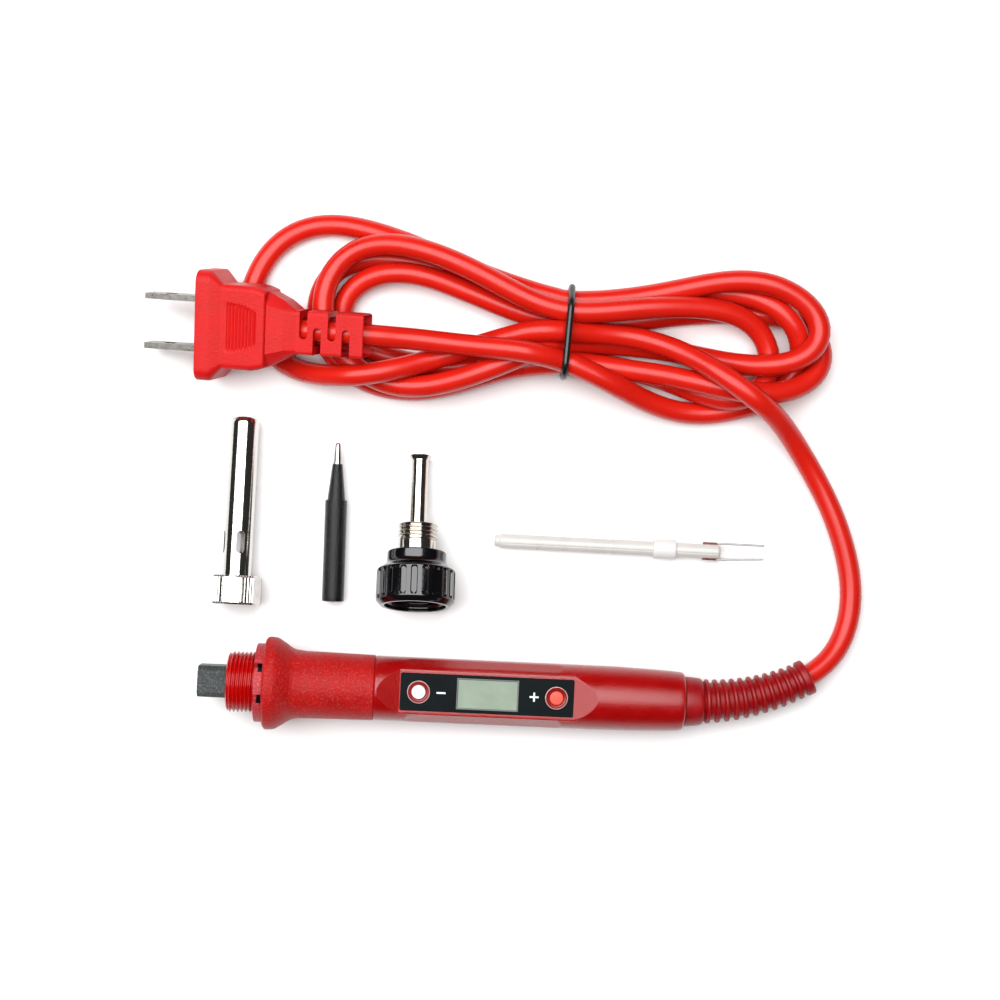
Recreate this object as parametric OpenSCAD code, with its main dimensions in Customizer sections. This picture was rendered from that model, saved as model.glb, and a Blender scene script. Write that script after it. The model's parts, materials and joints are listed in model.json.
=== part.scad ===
// Adjustable soldering iron, laid out in its pieces: a handle with a display, a cord and a plug,
// and beside it the tip, its sleeve and sleeve nut, the collar and collar nut, and the ceramic heater.
// Millimetres. +Z is up from the bench. Each long piece is drawn along its own +X and then laid down.

/* [Handle] */
// Length of the red body, from the grip to the rear end
body_len = 80.2; // [70:0.1:95]
// Radius of the red body
body_r = 8.2; // [7.8:0.1:9]
// Radius of the body at its rear end
body_end_r = 7.55; // [7.2:0.05:7.8]
// Length of the front grip
grip_len = 28; // [24:0.5:34]
// Radius of the grip's flared rim
flare_r = 11.85; // [11:0.05:13]
// Height of the display's flat above the body's axis
flat_h = 6.1; // [5.9:0.05:6.4]
// Outer radius of the handle's front thread
thread_r = 7.75; // [7.5:0.05:8]
// Pitch of the front thread
thread_pitch = 1.02; // [0.9:0.01:1.2]
// Number of thread crests
thread_turns = 7; // [5:1:8]
// How far the heater socket stands out of the thread
socket_out = 7.4; // [5:0.1:10]
// Width across the heater socket's flats
socket_w = 8; // [7.6:0.1:8.7]

/* [Display] */
// Length of the black display panel
panel_len = 44; // [40:0.1:45]
// Width of the black display panel
panel_w = 9.5; // [9:0.1:9.7]
// Length of the display window
window_len = 15.8; // [15:0.1:20]
// Width of the display window
window_w = 8; // [6:0.1:8.2]
// Radius of a button's cap
cap_r = 1.75; // [1.5:0.05:1.8]
// Travel of a button
button_travel = 0.5; // [0.2:0.05:0.5]

/* [Strain relief] */
// Length of the ribbed stretch
relief_len = 28.5; // [24:0.5:34]
// Angle through which it bends
relief_bend = 27; // [10:1:35]
// Number of ribs, the end ring included
rib_count = 12; // [8:1:13]

/* [Tip and sleeve] */
// Length of the soldering tip
tip_len = 41.3; // [38:0.1:46]
// Radius of the tip's shank
shank_r = 2.85; // [2.7:0.05:3.1]
// Radius of the tip's bore, which slides over the heater
tip_bore_r = 2.1; // [2:0.05:2.2]
// Length of the sleeve with its nut
sleeve_len = 48.55; // [45:0.05:52]
// Outer radius of the sleeve's tube
sleeve_r = 3.75; // [3.6:0.05:3.9]
// Outer radius of the sleeve nut
sleeve_nut_r = 6.6; // [6.4:0.1:7]
// Length of the sleeve nut
sleeve_nut_len = 7.4; // [6.5:0.1:8]

/* [Collar] */
// Length of the collar, from the nut's mouth to the pipe's end
collar_len = 39.6; // [36:0.1:44]
// Outer radius of the pipe
pipe_r = 2.25; // [2.2:0.05:2.3]
// Outer radius of the barrel's thread
barrel_r = 5.2; // [5:0.05:5.25]
// Outer radius of the collar nut's ribbed skirt
collar_nut_r = 10.05; // [9.8:0.05:10.6]
// Number of grooves round the collar nut
groove_count = 22; // [16:1:26]

/* [Heater] */
// Length of the ceramic rod
heater_len = 58.8; // [50:0.1:66]
// Radius of the ceramic rod
heater_r = 1.85; // [1.7:0.05:1.85]
// Length of each bare lead past the rod
lead_len = 11.4; // [8:0.1:16]

/* [Cord and plug] */
// Radius of the cord
cord_r = 2.8; // [2.6:0.1:3]
// Width of the plug's face plate
plate_w = 28; // [25:0.5:29]
// Thickness of the plug's face plate, top to bottom
plate_t = 16; // [14:0.5:17]
// Length of the plug behind its face
plug_len = 43.2; // [41:0.1:46]
// Length of each blade in front of the face
blade_len = 15.2; // [14:0.1:18]
// Distance between the blades' centres
blade_gap = 12.7; // [12.6:0.1:12.8]

/* [Hidden] */
$fn = 64;

// Clearance between pieces that fit together without moving
gap = 0.05;
// Clearance of a piece that moves, on its radius
slide_gap = 0.1;
// A cut runs this far past the face that it opens
over = 1;

// Where each long piece lies: a point on its axis, its heading in the plane and how far +X dips
handle_at = [-34.8, -29.18, 10.82];
handle_turn = -2.8;
handle_dip = 2.27;
sleeve_at = [-71.1, -8.1, 7.1];
sleeve_turn = 87.3;
sleeve_dip = 3.96;
tip_at = [-46.2, -7.5, 2.85];
tip_turn = 88;
collar_at = [-24.4, -8.4, 11.95];
collar_turn = 88.5;
collar_dip = 13.2;
heater_at = [-4.1, 8.3, 1.87];
heater_turn = -2.9;
heater_dip = -0.85;
plug_at = [-78.3, 64.1, 9.8];
plug_turn = -5;
plug_dip = -11;
plug_roll = 10;

// Stations along the handle, from the joint of the grip and the body
ring_len = 2.2;
ring_x = -grip_len - ring_len;
thread_x = ring_x - thread_turns * thread_pitch;
socket_x = thread_x - socket_out;
spigot_r = 6.3;
spigot_end = 4.2;
board_x = 7;
cavity_r = 6.6;
cavity_end = 74;
roof_h = 4.6;
ledge_h = 5.2;
panel_x = 6.7;
ramp_len = 6;
minus_x = 11.3;
plus_x = 46.3;
minus_mark_x = 17;
plus_mark_x = 40.6;
window_x = 28.8;
bezel_r = 2.9;
board_top = 1.6;
board_t = 1.2;
relief_bore = 3;
relief_turn = 2.5;

// Stations along the collar, from the nut's mouth
skirt_len = 9.4;
neck_x = 10.9;
nut_len = 14.05;
flange_x = 8.9;
barrel_end = 21.3;

// The cord's route on the bench, from the strain relief to the hank
lead_route = [
    [83.3, -22.3, 4.9], [86.5, -16, 3.4], [88.5, -9, 2.8], [88.5, -2, 2.8], [87, 5, 2.8], [84, 15, 2.8],
    [79, 25, 2.8], [74, 32.5, 2.8], [70.5, 38, 2.8], [67, 43.5, 2.8]
];
// The cord's route from the plug down on to the hank
plug_route = [[-31, 60.1, 18.2], [-25, 60, 16.5], [-19, 60, 13.5], [-14, 60, 10.5], [-10, 60, 8.5]];
// Outline of the folded hank
hank_outline = [
    [-68, 62], [-69, 71], [-67, 83], [-59, 90], [-47, 94], [-35, 91], [-18, 86], [-3, 79], [16, 73],
    [39, 75], [59, 78], [74, 74], [83, 65], [84, 58], [81, 51], [74, 45], [65, 38], [57, 39],
    [47, 38], [34, 42], [15, 50], [-1, 50], [-18, 45], [-28, 44], [-44, 47], [-57, 50]
];
// Outline of the hank's upper layer
upper_outline = [
    [-23, 48], [-23, 86], [-3, 79], [16, 73], [39, 75], [59, 78], [74, 74], [83, 65], [84, 58],
    [81, 51], [74, 45], [65, 40], [57, 40], [47, 39], [34, 43], [15, 50], [-1, 50]
];
waist_at = [14.7, 61.8];
waist_turn = 5.6;
waist_w = 21.8;
waist_h = 16.8;
tie_t = 1.8;

// ---- helpers ----

function vec_unit(v) = v / norm(v);

// A point on the smooth curve through four neighbouring points of a route
function curve_point(a, b, c, d, t) =
    0.5 * (2 * b + (c - a) * t + (2 * a - 5 * b + 4 * c - d) * t * t + (3 * b - 3 * c + d - a) * t * t * t);

// A route with n points to each of its spans
function smooth_route(p, n) = let (last = len(p) - 1) concat(
    [for (i = [0 : last - 1]) for (k = [0 : n - 1])
        curve_point(p[max(i - 1, 0)], p[i], p[i + 1], p[min(i + 2, last)], k / n)],
    [p[last]]
);

// A ring of points round one station of a route
function ring_at(p, i, r, sides) = let (
    last = len(p) - 1,
    along = vec_unit(p[min(i + 1, last)] - p[max(i - 1, 0)]),
    side = vec_unit(cross([0, 0, 1], along)),
    up = cross(along, side)
) [for (k = [0 : sides - 1]) let (a = 360 * k / sides) p[i] + r * (cos(a) * side + sin(a) * up)];

// Faces between n rings, and over both ends
function wall_faces(n, sides) = [for (i = [0 : n - 2]) for (k = [0 : sides - 1]) let (
    a = i * sides + k,
    b = i * sides + (k + 1) % sides
) each [[a, b + sides, b], [a, a + sides, b + sides]]];
function end_faces(n, sides) = [
    [for (k = [0 : sides - 1]) k],
    [for (k = [sides - 1 : -1 : 0]) (n - 1) * sides + k]
];

module tube(path, r, sides) {
    points = [for (i = [0 : len(path) - 1]) each ring_at(path, i, r, sides)];
    polyhedron(points, concat(wall_faces(len(path), sides), end_faces(len(path), sides)));
}

// A profile of [x, radius] points turned about the X axis
module turned(profile) rotate([90, 0, 90]) rotate_extrude() polygon([for (p = profile) [p[1], p[0]]]);

module rod_x(x0, x1, r, faces = 64) translate([x0, 0, 0]) rotate([0, 90, 0])
    cylinder(x1 - x0, r, r, $fn = faces);

// A box from low corner to high corner, centred across Y
module slab(x0, x1, w, z0, z1) translate([x0, -w / 2, z0]) cube([x1 - x0, w, z1 - z0]);

// A plate across X with chamfered corners
module chamfered(x0, x1, w, t, c) translate([x0, 0, 0]) rotate([90, 0, 90]) linear_extrude(x1 - x0)
    polygon([
        [-w / 2 + c, -t / 2], [w / 2 - c, -t / 2], [w / 2, -t / 2 + c], [w / 2, t / 2 - c],
        [w / 2 - c, t / 2], [-w / 2 + c, t / 2], [-w / 2, t / 2 - c], [-w / 2, -t / 2 + c]
    ]);

module laid(at, turn, dip, roll = 0)
    translate(at) rotate([0, 0, turn]) rotate([0, dip, 0]) rotate([roll, 0, 0]) children();
module on_handle() laid(handle_at, handle_turn, handle_dip) children();
module on_sleeve() laid(sleeve_at, sleeve_turn, sleeve_dip) children();
module on_tip() laid(tip_at, tip_turn, 0) children();
module on_collar() laid(collar_at, collar_turn, collar_dip) children();
module on_heater() laid(heater_at, heater_turn, heater_dip) children();
module on_plug() laid(plug_at, plug_turn, plug_dip, plug_roll) children();

// Crests and roots of a plain ringed thread from x0, each crest with a narrow land
function thread_profile(x0, turns, pitch, crest, root) = [
    for (i = [0 : turns - 1], step = [[0.1, root], [0.4, crest], [0.6, crest], [0.9, root]])
        [x0 + (i + step[0]) * pitch, step[1]]
];

// ---- handle ----

// The shallow cut that makes a flat at height h, with a ramp up at both ends
module ramped_cut(x0, x1, h, rise, ramp) translate([0, 15, 0]) rotate([90, 0, 0]) linear_extrude(30)
    polygon([
        [x0, h], [x1, h], [x1 + ramp, h + rise], [x1 + ramp, h + rise + 8],
        [x0 - ramp, h + rise + 8], [x0 - ramp, h + rise]
    ]);

module body_cavity() {
    rod_x(-over, spigot_end, spigot_r + gap);
    intersection() {
        rod_x(spigot_end - 0.01, cavity_end, cavity_r);
        slab(0, cavity_end + over, 20, -10, roof_h);
    }
    rod_x(cavity_end - 12, cavity_end, cavity_r);
}

module handle_body() color([0.72, 0.03, 0.03]) on_handle() difference() {
    turned([
        [0, 0], [0, body_r - 0.2], [0.3, body_r], [body_len - 22, body_r], [body_len - 10, body_r - 0.25],
        [body_len - 1, body_end_r], [body_len - 0.3, body_end_r - 0.3], [body_len, body_end_r - 1],
        [body_len, 0]
    ]);
    body_cavity();
    rod_x(cavity_end - over, body_len + over, 4.65);
    ramped_cut(panel_x - 0.5, panel_x + panel_len + 0.1, flat_h, body_r - flat_h, ramp_len);
    for (side = [-1, 1]) rotate([side * 63.5, 0, 0])
        ramped_cut(panel_x + 2.5, panel_x + panel_len - 4, body_r - 0.5, 0.5, 1.4);
    slab(panel_x - gap, panel_x + panel_len + gap, panel_w + 2 * gap, ledge_h, body_r + over);
    slab(window_x - 7.4, window_x + 7.4, 6.9, roof_h - over, body_r);
    for (x = [minus_x, plus_x]) translate([x, 0, roof_h - over])
        cylinder(5, cap_r + slide_gap, cap_r + slide_gap);
}

module front_grip() color([0.82, 0.08, 0.1]) on_handle() difference() {
    turned([
        [-grip_len + 0.8, 0], [-grip_len, 8.6], [-grip_len, flare_r - 0.7], [-grip_len + 0.5, flare_r - 0.1],
        [-grip_len + 1.2, flare_r], [-grip_len + 3, flare_r - 0.25], [-grip_len + 4.8, flare_r - 1.3],
        [-grip_len + 7, flare_r - 2.75], [-grip_len + 9, body_r + 0.45], [-grip_len + 13, body_r + 0.35],
        [-0.2, body_r + 0.1], [0, body_r - 0.1], [0, 0]
    ]);
    rod_x(-grip_len - over, over, spigot_r + gap);
}

module thread_ferrule() color([0.8, 0.03, 0.03]) on_handle() difference() {
    turned(concat(
        [[thread_x, 0], [thread_x, thread_r - 0.9]],
        thread_profile(thread_x, thread_turns, thread_pitch, thread_r, thread_r - 0.6),
        [[ring_x, thread_r - 0.6], [ring_x, spigot_r], [spigot_end - 0.2, spigot_r], [spigot_end - 0.2, 0]]
    ));
    rod_x(thread_x - over, thread_x + 18, 5.35);
    rod_x(thread_x + 17, spigot_end + over, 4.6);
}

module vent_ring() color([0.85, 0.3, 0.36]) on_handle() difference() {
    rod_x(ring_x, -grip_len, 10);
    rod_x(ring_x - over, over, spigot_r + gap);
    for (a = [-118, -27.7, 18.6, 113, 177]) rotate([a, 0, 0])
        slab(ring_x - over, -grip_len + over, 2, 7.9, 11.9);
}

// A bar of eight sides along X, with flats 2 * f wide at its top and sides
module octagon(x0, x1, w) translate([x0, 0, 0]) rotate([90, 0, 90]) linear_extrude(x1 - x0)
    let (h = w / 2, f = w / 2 - 1.15)
    polygon([[-f, -h], [f, -h], [h, -f], [h, f], [f, h], [-f, h], [-h, f], [-h, -f]]);

module heater_socket() color([0.27, 0.29, 0.29]) on_handle() difference() {
    octagon(socket_x, thread_x + 16, socket_w);
    rod_x(socket_x - over, socket_x + 14, 2.1);
    contact_row(socket_x + 17, thread_x + 17, 0.65);
}

// Four round contacts about the heater's axis
module contact_row(x0, x1, r) for (a = [45 : 90 : 315]) rotate([a, 0, 0]) translate([0, 2.7, 0])
    rod_x(x0, x1, r, 24);
module socket_contacts() color([0.8, 0.65, 0.3]) on_handle() contact_row(socket_x + 18, thread_x + 18, 0.6);

module display_panel() color([0.07, 0.1, 0.11]) on_handle() difference() {
    slab(panel_x, panel_x + panel_len, panel_w, ledge_h, flat_h - 0.1);
    slab(window_x - window_len / 2, window_x + window_len / 2, window_w, ledge_h - over, flat_h + over);
    for (x = [minus_x, plus_x]) translate([x, 0, ledge_h - over]) cylinder(4, bezel_r + gap, bezel_r + gap);
}

module lcd_window() color([0.73, 0.8, 0.72]) on_handle()
    let (half = window_len / 2 - gap)
    slab(window_x - half, window_x + half, window_w - 2 * gap, ledge_h, flat_h - 0.35);

module lcd_module() color([0.5, 0.55, 0.5]) on_handle()
    slab(window_x - 9, window_x + 9, 9, board_top, roof_h - gap);

module panel_marks() color("white") on_handle() {
    slab(minus_mark_x - 1.15, minus_mark_x + 1.15, 0.45, flat_h - 0.1, flat_h - 0.02);
    difference() {
        slab(plus_mark_x - 1.15, plus_mark_x + 1.15, 2.3, flat_h - 0.1, flat_h - 0.02);
        for (sx = [-1, 1], sy = [-1, 1]) translate([plus_mark_x + sx * 1.225, sy * 1.225, flat_h - 0.6])
            cube([2, 2, 2], center = true);
    }
}

module bezel(x) color([0.5, 0.05, 0.06]) on_handle() translate([x, 0, ledge_h]) difference() {
    cylinder(1.05, bezel_r, bezel_r);
    translate([0, 0, -over]) cylinder(3, cap_r + 0.15, cap_r + 0.15);
    translate([0, 0, 0.75]) cylinder(1, cap_r + 0.15, cap_r + 1);
}
module minus_bezel() bezel(minus_x);
module plus_bezel() bezel(plus_x);

module button_cap(x) on_handle() translate([x, 0, 0]) {
    translate([0, 0, roof_h - 0.8]) cylinder(0.7, cap_r + 0.55, cap_r + 0.55);
    translate([0, 0, roof_h - 0.2]) cylinder(flat_h - roof_h + 0.35, cap_r, cap_r);
}
module minus_button() color("white") button_cap(minus_x);
module plus_button() color([1, 0.31, 0.24]) button_cap(plus_x);

module circuit_board() color([0.1, 0.4, 0.2]) on_handle()
    slab(board_x, 64, 12, board_top - board_t, board_top);

module tact_switches() color([0.15, 0.15, 0.15]) on_handle() for (x = [minus_x + 0.6, plus_x]) {
    slab(x - 2.3, x + 2.3, 4.6, board_top, 2.7);
    translate([x == plus_x ? x : minus_x, 0, 2.6]) cylinder(roof_h - 3.5 - button_travel, 1, 1);
}

module triac() color([0.12, 0.12, 0.12]) on_handle() slab(12, 17, 6.2, -2.2, board_top - board_t);
module film_capacitor() color([0.85, 0.75, 0.2]) on_handle() slab(36, 47, 5, -5, board_top - board_t);
module controller_chip() color([0.12, 0.12, 0.12]) on_handle() slab(24, 29, 4, -1.2, board_top - board_t);

module wire_pair(x0, x1, y, z, r) for (side = [-1, 1]) translate([0, side * y, z]) rod_x(x0, x1, r, 24);
module heater_wires() color([0.9, 0.9, 0.85]) on_handle() wire_pair(thread_x + 18, board_x, 1.91, 1, 0.55);
module supply_wires() color([0.1, 0.1, 0.1]) on_handle() wire_pair(64, 69, 1.3, 0.8, 0.6);

module cord_clamp() color([0.2, 0.2, 0.2]) on_handle() difference() {
    slab(69.2, 71.6, 9.6, 1.2, 3.6);
    rod_x(69, 72, cord_r + gap);
    for (side = [-1, 1]) translate([70.4, side * 3.9, 0]) cylinder(5, 0.65, 0.65);
}
module clamp_screws() color([0.7, 0.7, 0.7]) on_handle() for (y = [-3.9, 3.9]) translate([70.4, y, 0]) {
    translate([0, 0, -1.5]) cylinder(5.2, 0.6, 0.6);
    translate([0, 0, 3.6]) cylinder(0.6, 0.9, 0.9);
}

// ---- strain relief and the cord's lead ----

relief_r = relief_len / (relief_bend * PI / 180);
relief_start = [body_len + 5, 0.2, 0];

// The relief's centreline in the handle's own frame, u millimetres past its smooth ring
function relief_point(u) = let (a = relief_turn + u / relief_r * 180 / PI) relief_start
    + relief_r * [sin(a) - sin(relief_turn), cos(relief_turn) - cos(a), 0];

// A point of a laid piece's own frame, on the bench
function laid_point(at, turn, dip, p) = let (
    x = p[0] * cos(dip) + p[2] * sin(dip),
    z = p[2] * cos(dip) - p[0] * sin(dip)
) at + [x * cos(turn) - p[1] * sin(turn), x * sin(turn) + p[1] * cos(turn), z];
function handle_point(p) = laid_point(handle_at, handle_turn, handle_dip, p);
function plug_axis_point(x) = laid_point(plug_at, plug_turn, plug_dip, [x, 0, 0]);

// Each station holds the centre and the radius
rib_pitch = (relief_len - 2.4) / (rib_count - 1);
relief_stations = concat(
    [[[72, 0, 0], 6.2], [[73.9, 0, 0], 6.2], [[73.95, 0, 0], 4.6], [[body_len, 0, 0], 4.6]],
    [
        [[body_len + 0.05, 0, 0], 6.4], [[body_len + 0.4, 0, 0], 6.4], [[body_len + 3.5, 0.1, 0], 6.05],
        [relief_point(0), 5.8], [relief_point(0.1), 4.9]
    ],
    [for (i = [0 : rib_count - 2]) let (u = 0.4 + i * rib_pitch, r = 5.7 - 1.15 * i / (rib_count - 1))
        each [[relief_point(u), r - 0.9], [relief_point(u + 0.35), r], [relief_point(u + 1.05), r],
            [relief_point(u + 1.4), r - 0.9]]],
    [for (end = [[2.2, 3.8], [2, 4.7], [0.2, 4.7], [0, 4.4]]) [relief_point(relief_len - end[0]), end[1]]]
);

module strain_relief() {
    sides = 20;
    outer = [for (s = relief_stations) handle_point(s[0])];
    inner = [for (i = [0 : len(outer) - 1]) if (i < 6 || i % 4 == 0 || i == len(outer) - 1) outer[i]];
    n = len(outer);
    m = len(inner);
    points = concat(
        [for (i = [0 : n - 1]) each ring_at(outer, i, relief_stations[i][1], sides)],
        [for (i = [0 : m - 1]) each ring_at(inner, i, relief_bore, sides)]
    );
    bore = n * sides;
    shell = wall_faces(n, sides);
    lining = [for (f = wall_faces(m, sides)) [f[2] + bore, f[1] + bore, f[0] + bore]];
    front = [for (k = [0 : sides - 1]) let (j = (k + 1) % sides)
        each [[j, bore + k, k], [j, bore + j, bore + k]]];
    rear = [for (k = [0 : sides - 1]) let (
        j = (k + 1) % sides,
        a = (n - 1) * sides,
        b = bore + (m - 1) * sides
    ) each [[a + k, b + k, a + j], [a + j, b + k, b + j]]];
    color([0.7, 0.07, 0.12]) polyhedron(points, concat(shell, lining, front, rear));
}

module cord_lead() color([0.95, 0.13, 0.08]) tube(concat(
    [for (x = [69, 73, 79, 83]) handle_point([x, x > 80 ? 0.1 : 0, 0])],
    [for (u = [0 : 4 : relief_len]) handle_point(relief_point(u))],
    smooth_route(lead_route, 2)
), cord_r, 10);

// ---- sleeve and tip ----

module sleeve_tube() color([0.8, 0.8, 0.78]) on_sleeve() difference() {
    turned([
        [5, 0], [5, 4.9], [5.6, 4.9], [5.6, sleeve_r], [sleeve_len - 1.8, sleeve_r],
        [sleeve_len - 1.1, sleeve_r - 0.12], [sleeve_len - 0.5, sleeve_r - 0.45],
        [sleeve_len - 0.1, sleeve_r - 0.9], [sleeve_len, sleeve_r - 1.15], [sleeve_len, 0]
    ]);
    rod_x(4, sleeve_len - 2, sleeve_r - 0.4);
    rod_x(sleeve_len - 3, sleeve_len + over, 2.5);
    for (a = [16 : 90 : 286]) rotate([a, 0, 0]) {
        translate([14.1, -1.1, 2]) cube([3.8, 2.2, 4]);
        for (x = [14.1, 17.9]) translate([x, 0, 2]) cylinder(4, 1.1, 1.1);
    }
}

module sleeve_nut() color([0.78, 0.77, 0.74]) on_sleeve() difference() {
    turned([
        [0, 0], [0, sleeve_nut_r - 0.5], [0.5, sleeve_nut_r], [sleeve_nut_len - 0.5, sleeve_nut_r],
        [sleeve_nut_len, sleeve_nut_r - 0.5], [sleeve_nut_len, 0]
    ]);
    rod_x(-over, 4.9, barrel_r + slide_gap);
    rod_x(4, 5.7, 5.05);
    rod_x(5, sleeve_nut_len + over, sleeve_r + slide_gap);
    for (k = [0 : 4]) rotate([k * 72 - 2, 0, 0]) {
        translate([-over, -5, sleeve_nut_r - 0.35]) cube([sleeve_nut_len + 2 * over, 10, 3]);
        for (a = [22 : 7 : 50]) rotate([a, 0, 0]) translate([0, 0, sleeve_nut_r])
            rod_x(-over, sleeve_nut_len + over, 0.25, 20);
    }
}

module iron_tip() color([0.08, 0.08, 0.08]) on_tip() difference() {
    turned([
        [0, 0], [0, shank_r - 0.2], [0.2, shank_r], [26.2, shank_r], [26.4, shank_r - 0.2], [26.4, 2.3],
        [tip_len - 5.6, 1.3], [tip_len - 5.6, 1.15], [tip_len - 0.7, 0.78], [tip_len - 0.2, 0.6],
        [tip_len, 0.3], [tip_len, 0]
    ]);
    rod_x(-over, 25, tip_bore_r);
}

// ---- collar ----

module collar_barrel() color([0.78, 0.76, 0.7]) on_collar() difference() {
    turned(concat(
        [[flange_x, 0], [flange_x, 7.2], [flange_x + 1.5, 7.2], [flange_x + 1.5, 4.85], [17.1, 4.85]],
        thread_profile(17.1, 4, 1.03, barrel_r, barrel_r - 0.5),
        [[barrel_end, barrel_r - 0.8], [barrel_end, 0]]
    ));
    rod_x(flange_x - over, barrel_end + over, pipe_r + 0.03);
}

module collar_pipe() color([0.8, 0.79, 0.75]) on_collar() difference() {
    turned([
        [flange_x, 0], [flange_x, pipe_r], [collar_len - 1, pipe_r], [collar_len - 0.6, 2.7],
        [collar_len - 0.2, 3.05],
        [collar_len, 3], [collar_len, 0]
    ]);
    rod_x(flange_x - over, collar_len + over, 1.95);
}

module collar_nut() color([0.07, 0.07, 0.07]) on_collar() difference() {
    turned([
        [0, 0], [0, collar_nut_r - 1.25], [0.35, collar_nut_r - 0.8], [1.2, collar_nut_r],
        [skirt_len - 0.5, collar_nut_r], [skirt_len, collar_nut_r - 0.5],
        [neck_x, 7.6], [nut_len - 0.4, 7.6], [nut_len, 7.3], [nut_len, 0]
    ]);
    rod_x(-over, flange_x - 0.1, thread_r + slide_gap);
    rod_x(flange_x - over, 10.55, 7.5);
    rod_x(10, nut_len + over, 5.35);
    for (k = [1 : groove_count]) rotate([k * 360 / groove_count, 0, 0]) {
        translate([1.8, -0.8, collar_nut_r - 0.6]) cube([6.4, 1.6, 2]);
        for (x = [1.8, 8.2]) translate([x, 0, collar_nut_r - 0.6]) cylinder(2, 0.8, 0.8);
    }
}

// ---- heater ----

module heater_rod() color([0.94, 0.93, 0.9]) on_heater()
    turned([[0, 0], [0, 1.25], [0.3, 1.5], [1.3, 1.55], [1.5, heater_r], [heater_len - 0.6, heater_r],
        [heater_len, heater_r - 0.5], [heater_len, 0]]);

module heater_band() color("white") on_heater() difference() {
    turned([[41.4, 0], [41.4, 2.2], [41.8, 2.5], [46.9, 2.5], [47.3, 2.2], [47.3, 0]]);
    rod_x(41, 48, heater_r + 0.02);
}

module heater_pads() color([0.5, 0.25, 0.2]) on_heater() difference() {
    for (side = [-1, 1]) translate([0, side * 1.8, 0]) rod_x(54.2, 57.9, 0.55, 32);
    rod_x(50, 60, heater_r + 0.02);
}

module heater_leads() color([0.6, 0.6, 0.58]) on_heater() for (side = [-1, 1])
    translate([57.9, side * 2.1, 0]) rotate([0, 0, side < 0 ? 3 : 0]) rod_x(0, lead_len + 0.9, 0.25, 24);

// ---- hank, tie and plug ----

module waist(grow, x0, x1, z0, z1) translate(waist_at) rotate([0, 0, -waist_turn])
    translate([x0, -waist_w / 2 - grow, z0]) cube([x1 - x0, waist_w + 2 * grow, z1 - z0]);

module cord_hank() color([0.9, 0.12, 0.08]) difference() {
    union() {
        linear_extrude(2 * cord_r) polygon(hank_outline);
        linear_extrude(10.6) polygon(upper_outline);
        waist(0, -14, 14, 0, waist_h);
    }
    difference() {
        waist(9, -tie_t / 2 - gap, tie_t / 2 + gap, -over, 30);
        waist(-gap, -over * 2, over * 2, tie_t + gap, waist_h - gap);
    }
    on_plug() slab(-20, plug_len + 0.5, 31, -9.5, 20);
}

module cord_plug_end() color([0.95, 0.13, 0.08]) tube(concat(
    [for (x = [24.6, 34, plug_len]) plug_axis_point(x)],
    smooth_route(plug_route, 2)
), cord_r, 10);

module cord_tie() color([0.05, 0.05, 0.05]) difference() {
    waist(tie_t, -tie_t / 2, tie_t / 2, 0, waist_h + tie_t);
    waist(0, -tie_t, tie_t, tie_t, waist_h);
}

module bridge_shape() chamfered(2, 6, 19, 8, 1);
module blade_shapes() for (side = [-1, 1]) translate([0, side * blade_gap / 2, 0])
    slab(-blade_len, 9, 1.5, -3.175, 3.175);
module plug_wire_shapes(grow) for (side = [-1, 1]) translate([0, side * 1.3, 0]) {
    rod_x(9 + gap, 24, 0.9 + grow, 24);
    translate([10 + gap, side > 0 ? -1 : -5, 0]) rotate([-90, 0, 0])
        cylinder(6, 0.9 + grow, 0.9 + grow, $fn = 24);
}

module plug_body() color([0.85, 0.12, 0.15]) on_plug() difference() {
    union() {
        chamfered(0, 3.75, plate_w, plate_t, 2.4);
        hull() {
            chamfered(3.7, 3.75, plate_w, plate_t, 2.4);
            chamfered(6.6, 6.65, 21.5, 13, 1.2);
        }
        chamfered(6.6, 14.6, 21.5, 13, 1.2);
        hull() {
            chamfered(14.5, 14.6, 21.5, 13, 1.2);
            chamfered(17.7, 17.8, 18.9, 12.8, 1.2);
        }
        hull() {
            chamfered(17.7, 17.8, 18.8, 11.6, 2.4);
            chamfered(22.5, 22.6, 13.6, 10.6, 2);
        }
        hull() {
            chamfered(22.5, 22.6, 13.6, 10.6, 2);
            chamfered(25.7, 25.8, 11.2, 8.6, 0.8);
        }
        chamfered(25.7, plug_len, 11.2, 8.6, 0.8);
    }
    rod_x(24.5, plug_len + over, cord_r + gap);
    bridge_shape();
    blade_shapes();
    plug_wire_shapes(gap);
    for (x = [27.6, 35]) slab_slot(x, 1);
    for (x = [31.2, 38.7]) slab_slot(x, -1);
}
module slab_slot(x, side) translate([x - 0.9, side > 0 ? -1.6 : -8, -10])
    cube([1.8, side > 0 ? 9.6 : 8.9, 20]);

module plug_bridge() color([0.9, 0.88, 0.8]) on_plug() difference() {
    bridge_shape();
    blade_shapes();
}

module plug_blades() color([0.75, 0.74, 0.7]) on_plug() difference() {
    blade_shapes();
    for (side = [-1, 1]) translate([-9.2, side * blade_gap / 2 - 5, 0]) rotate([-90, 0, 0])
        cylinder(10, 1.6, 1.6);
}

module plug_wires() color([0.1, 0.1, 0.1]) on_plug() plug_wire_shapes(0);

handle_body();
front_grip();
thread_ferrule();
vent_ring();
heater_socket();
socket_contacts();
display_panel();
lcd_window();
lcd_module();
panel_marks();
minus_bezel();
plus_bezel();
minus_button();
plus_button();
tact_switches();
circuit_board();
triac();
film_capacitor();
controller_chip();
heater_wires();
supply_wires();
cord_clamp();
clamp_screws();
strain_relief();
sleeve_tube();
sleeve_nut();
iron_tip();
collar_barrel();
collar_pipe();
collar_nut();
heater_rod();
heater_band();
heater_pads();
heater_leads();
cord_lead();
cord_hank();
cord_plug_end();
cord_tie();
plug_body();
plug_bridge();
plug_blades();
plug_wires();
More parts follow.
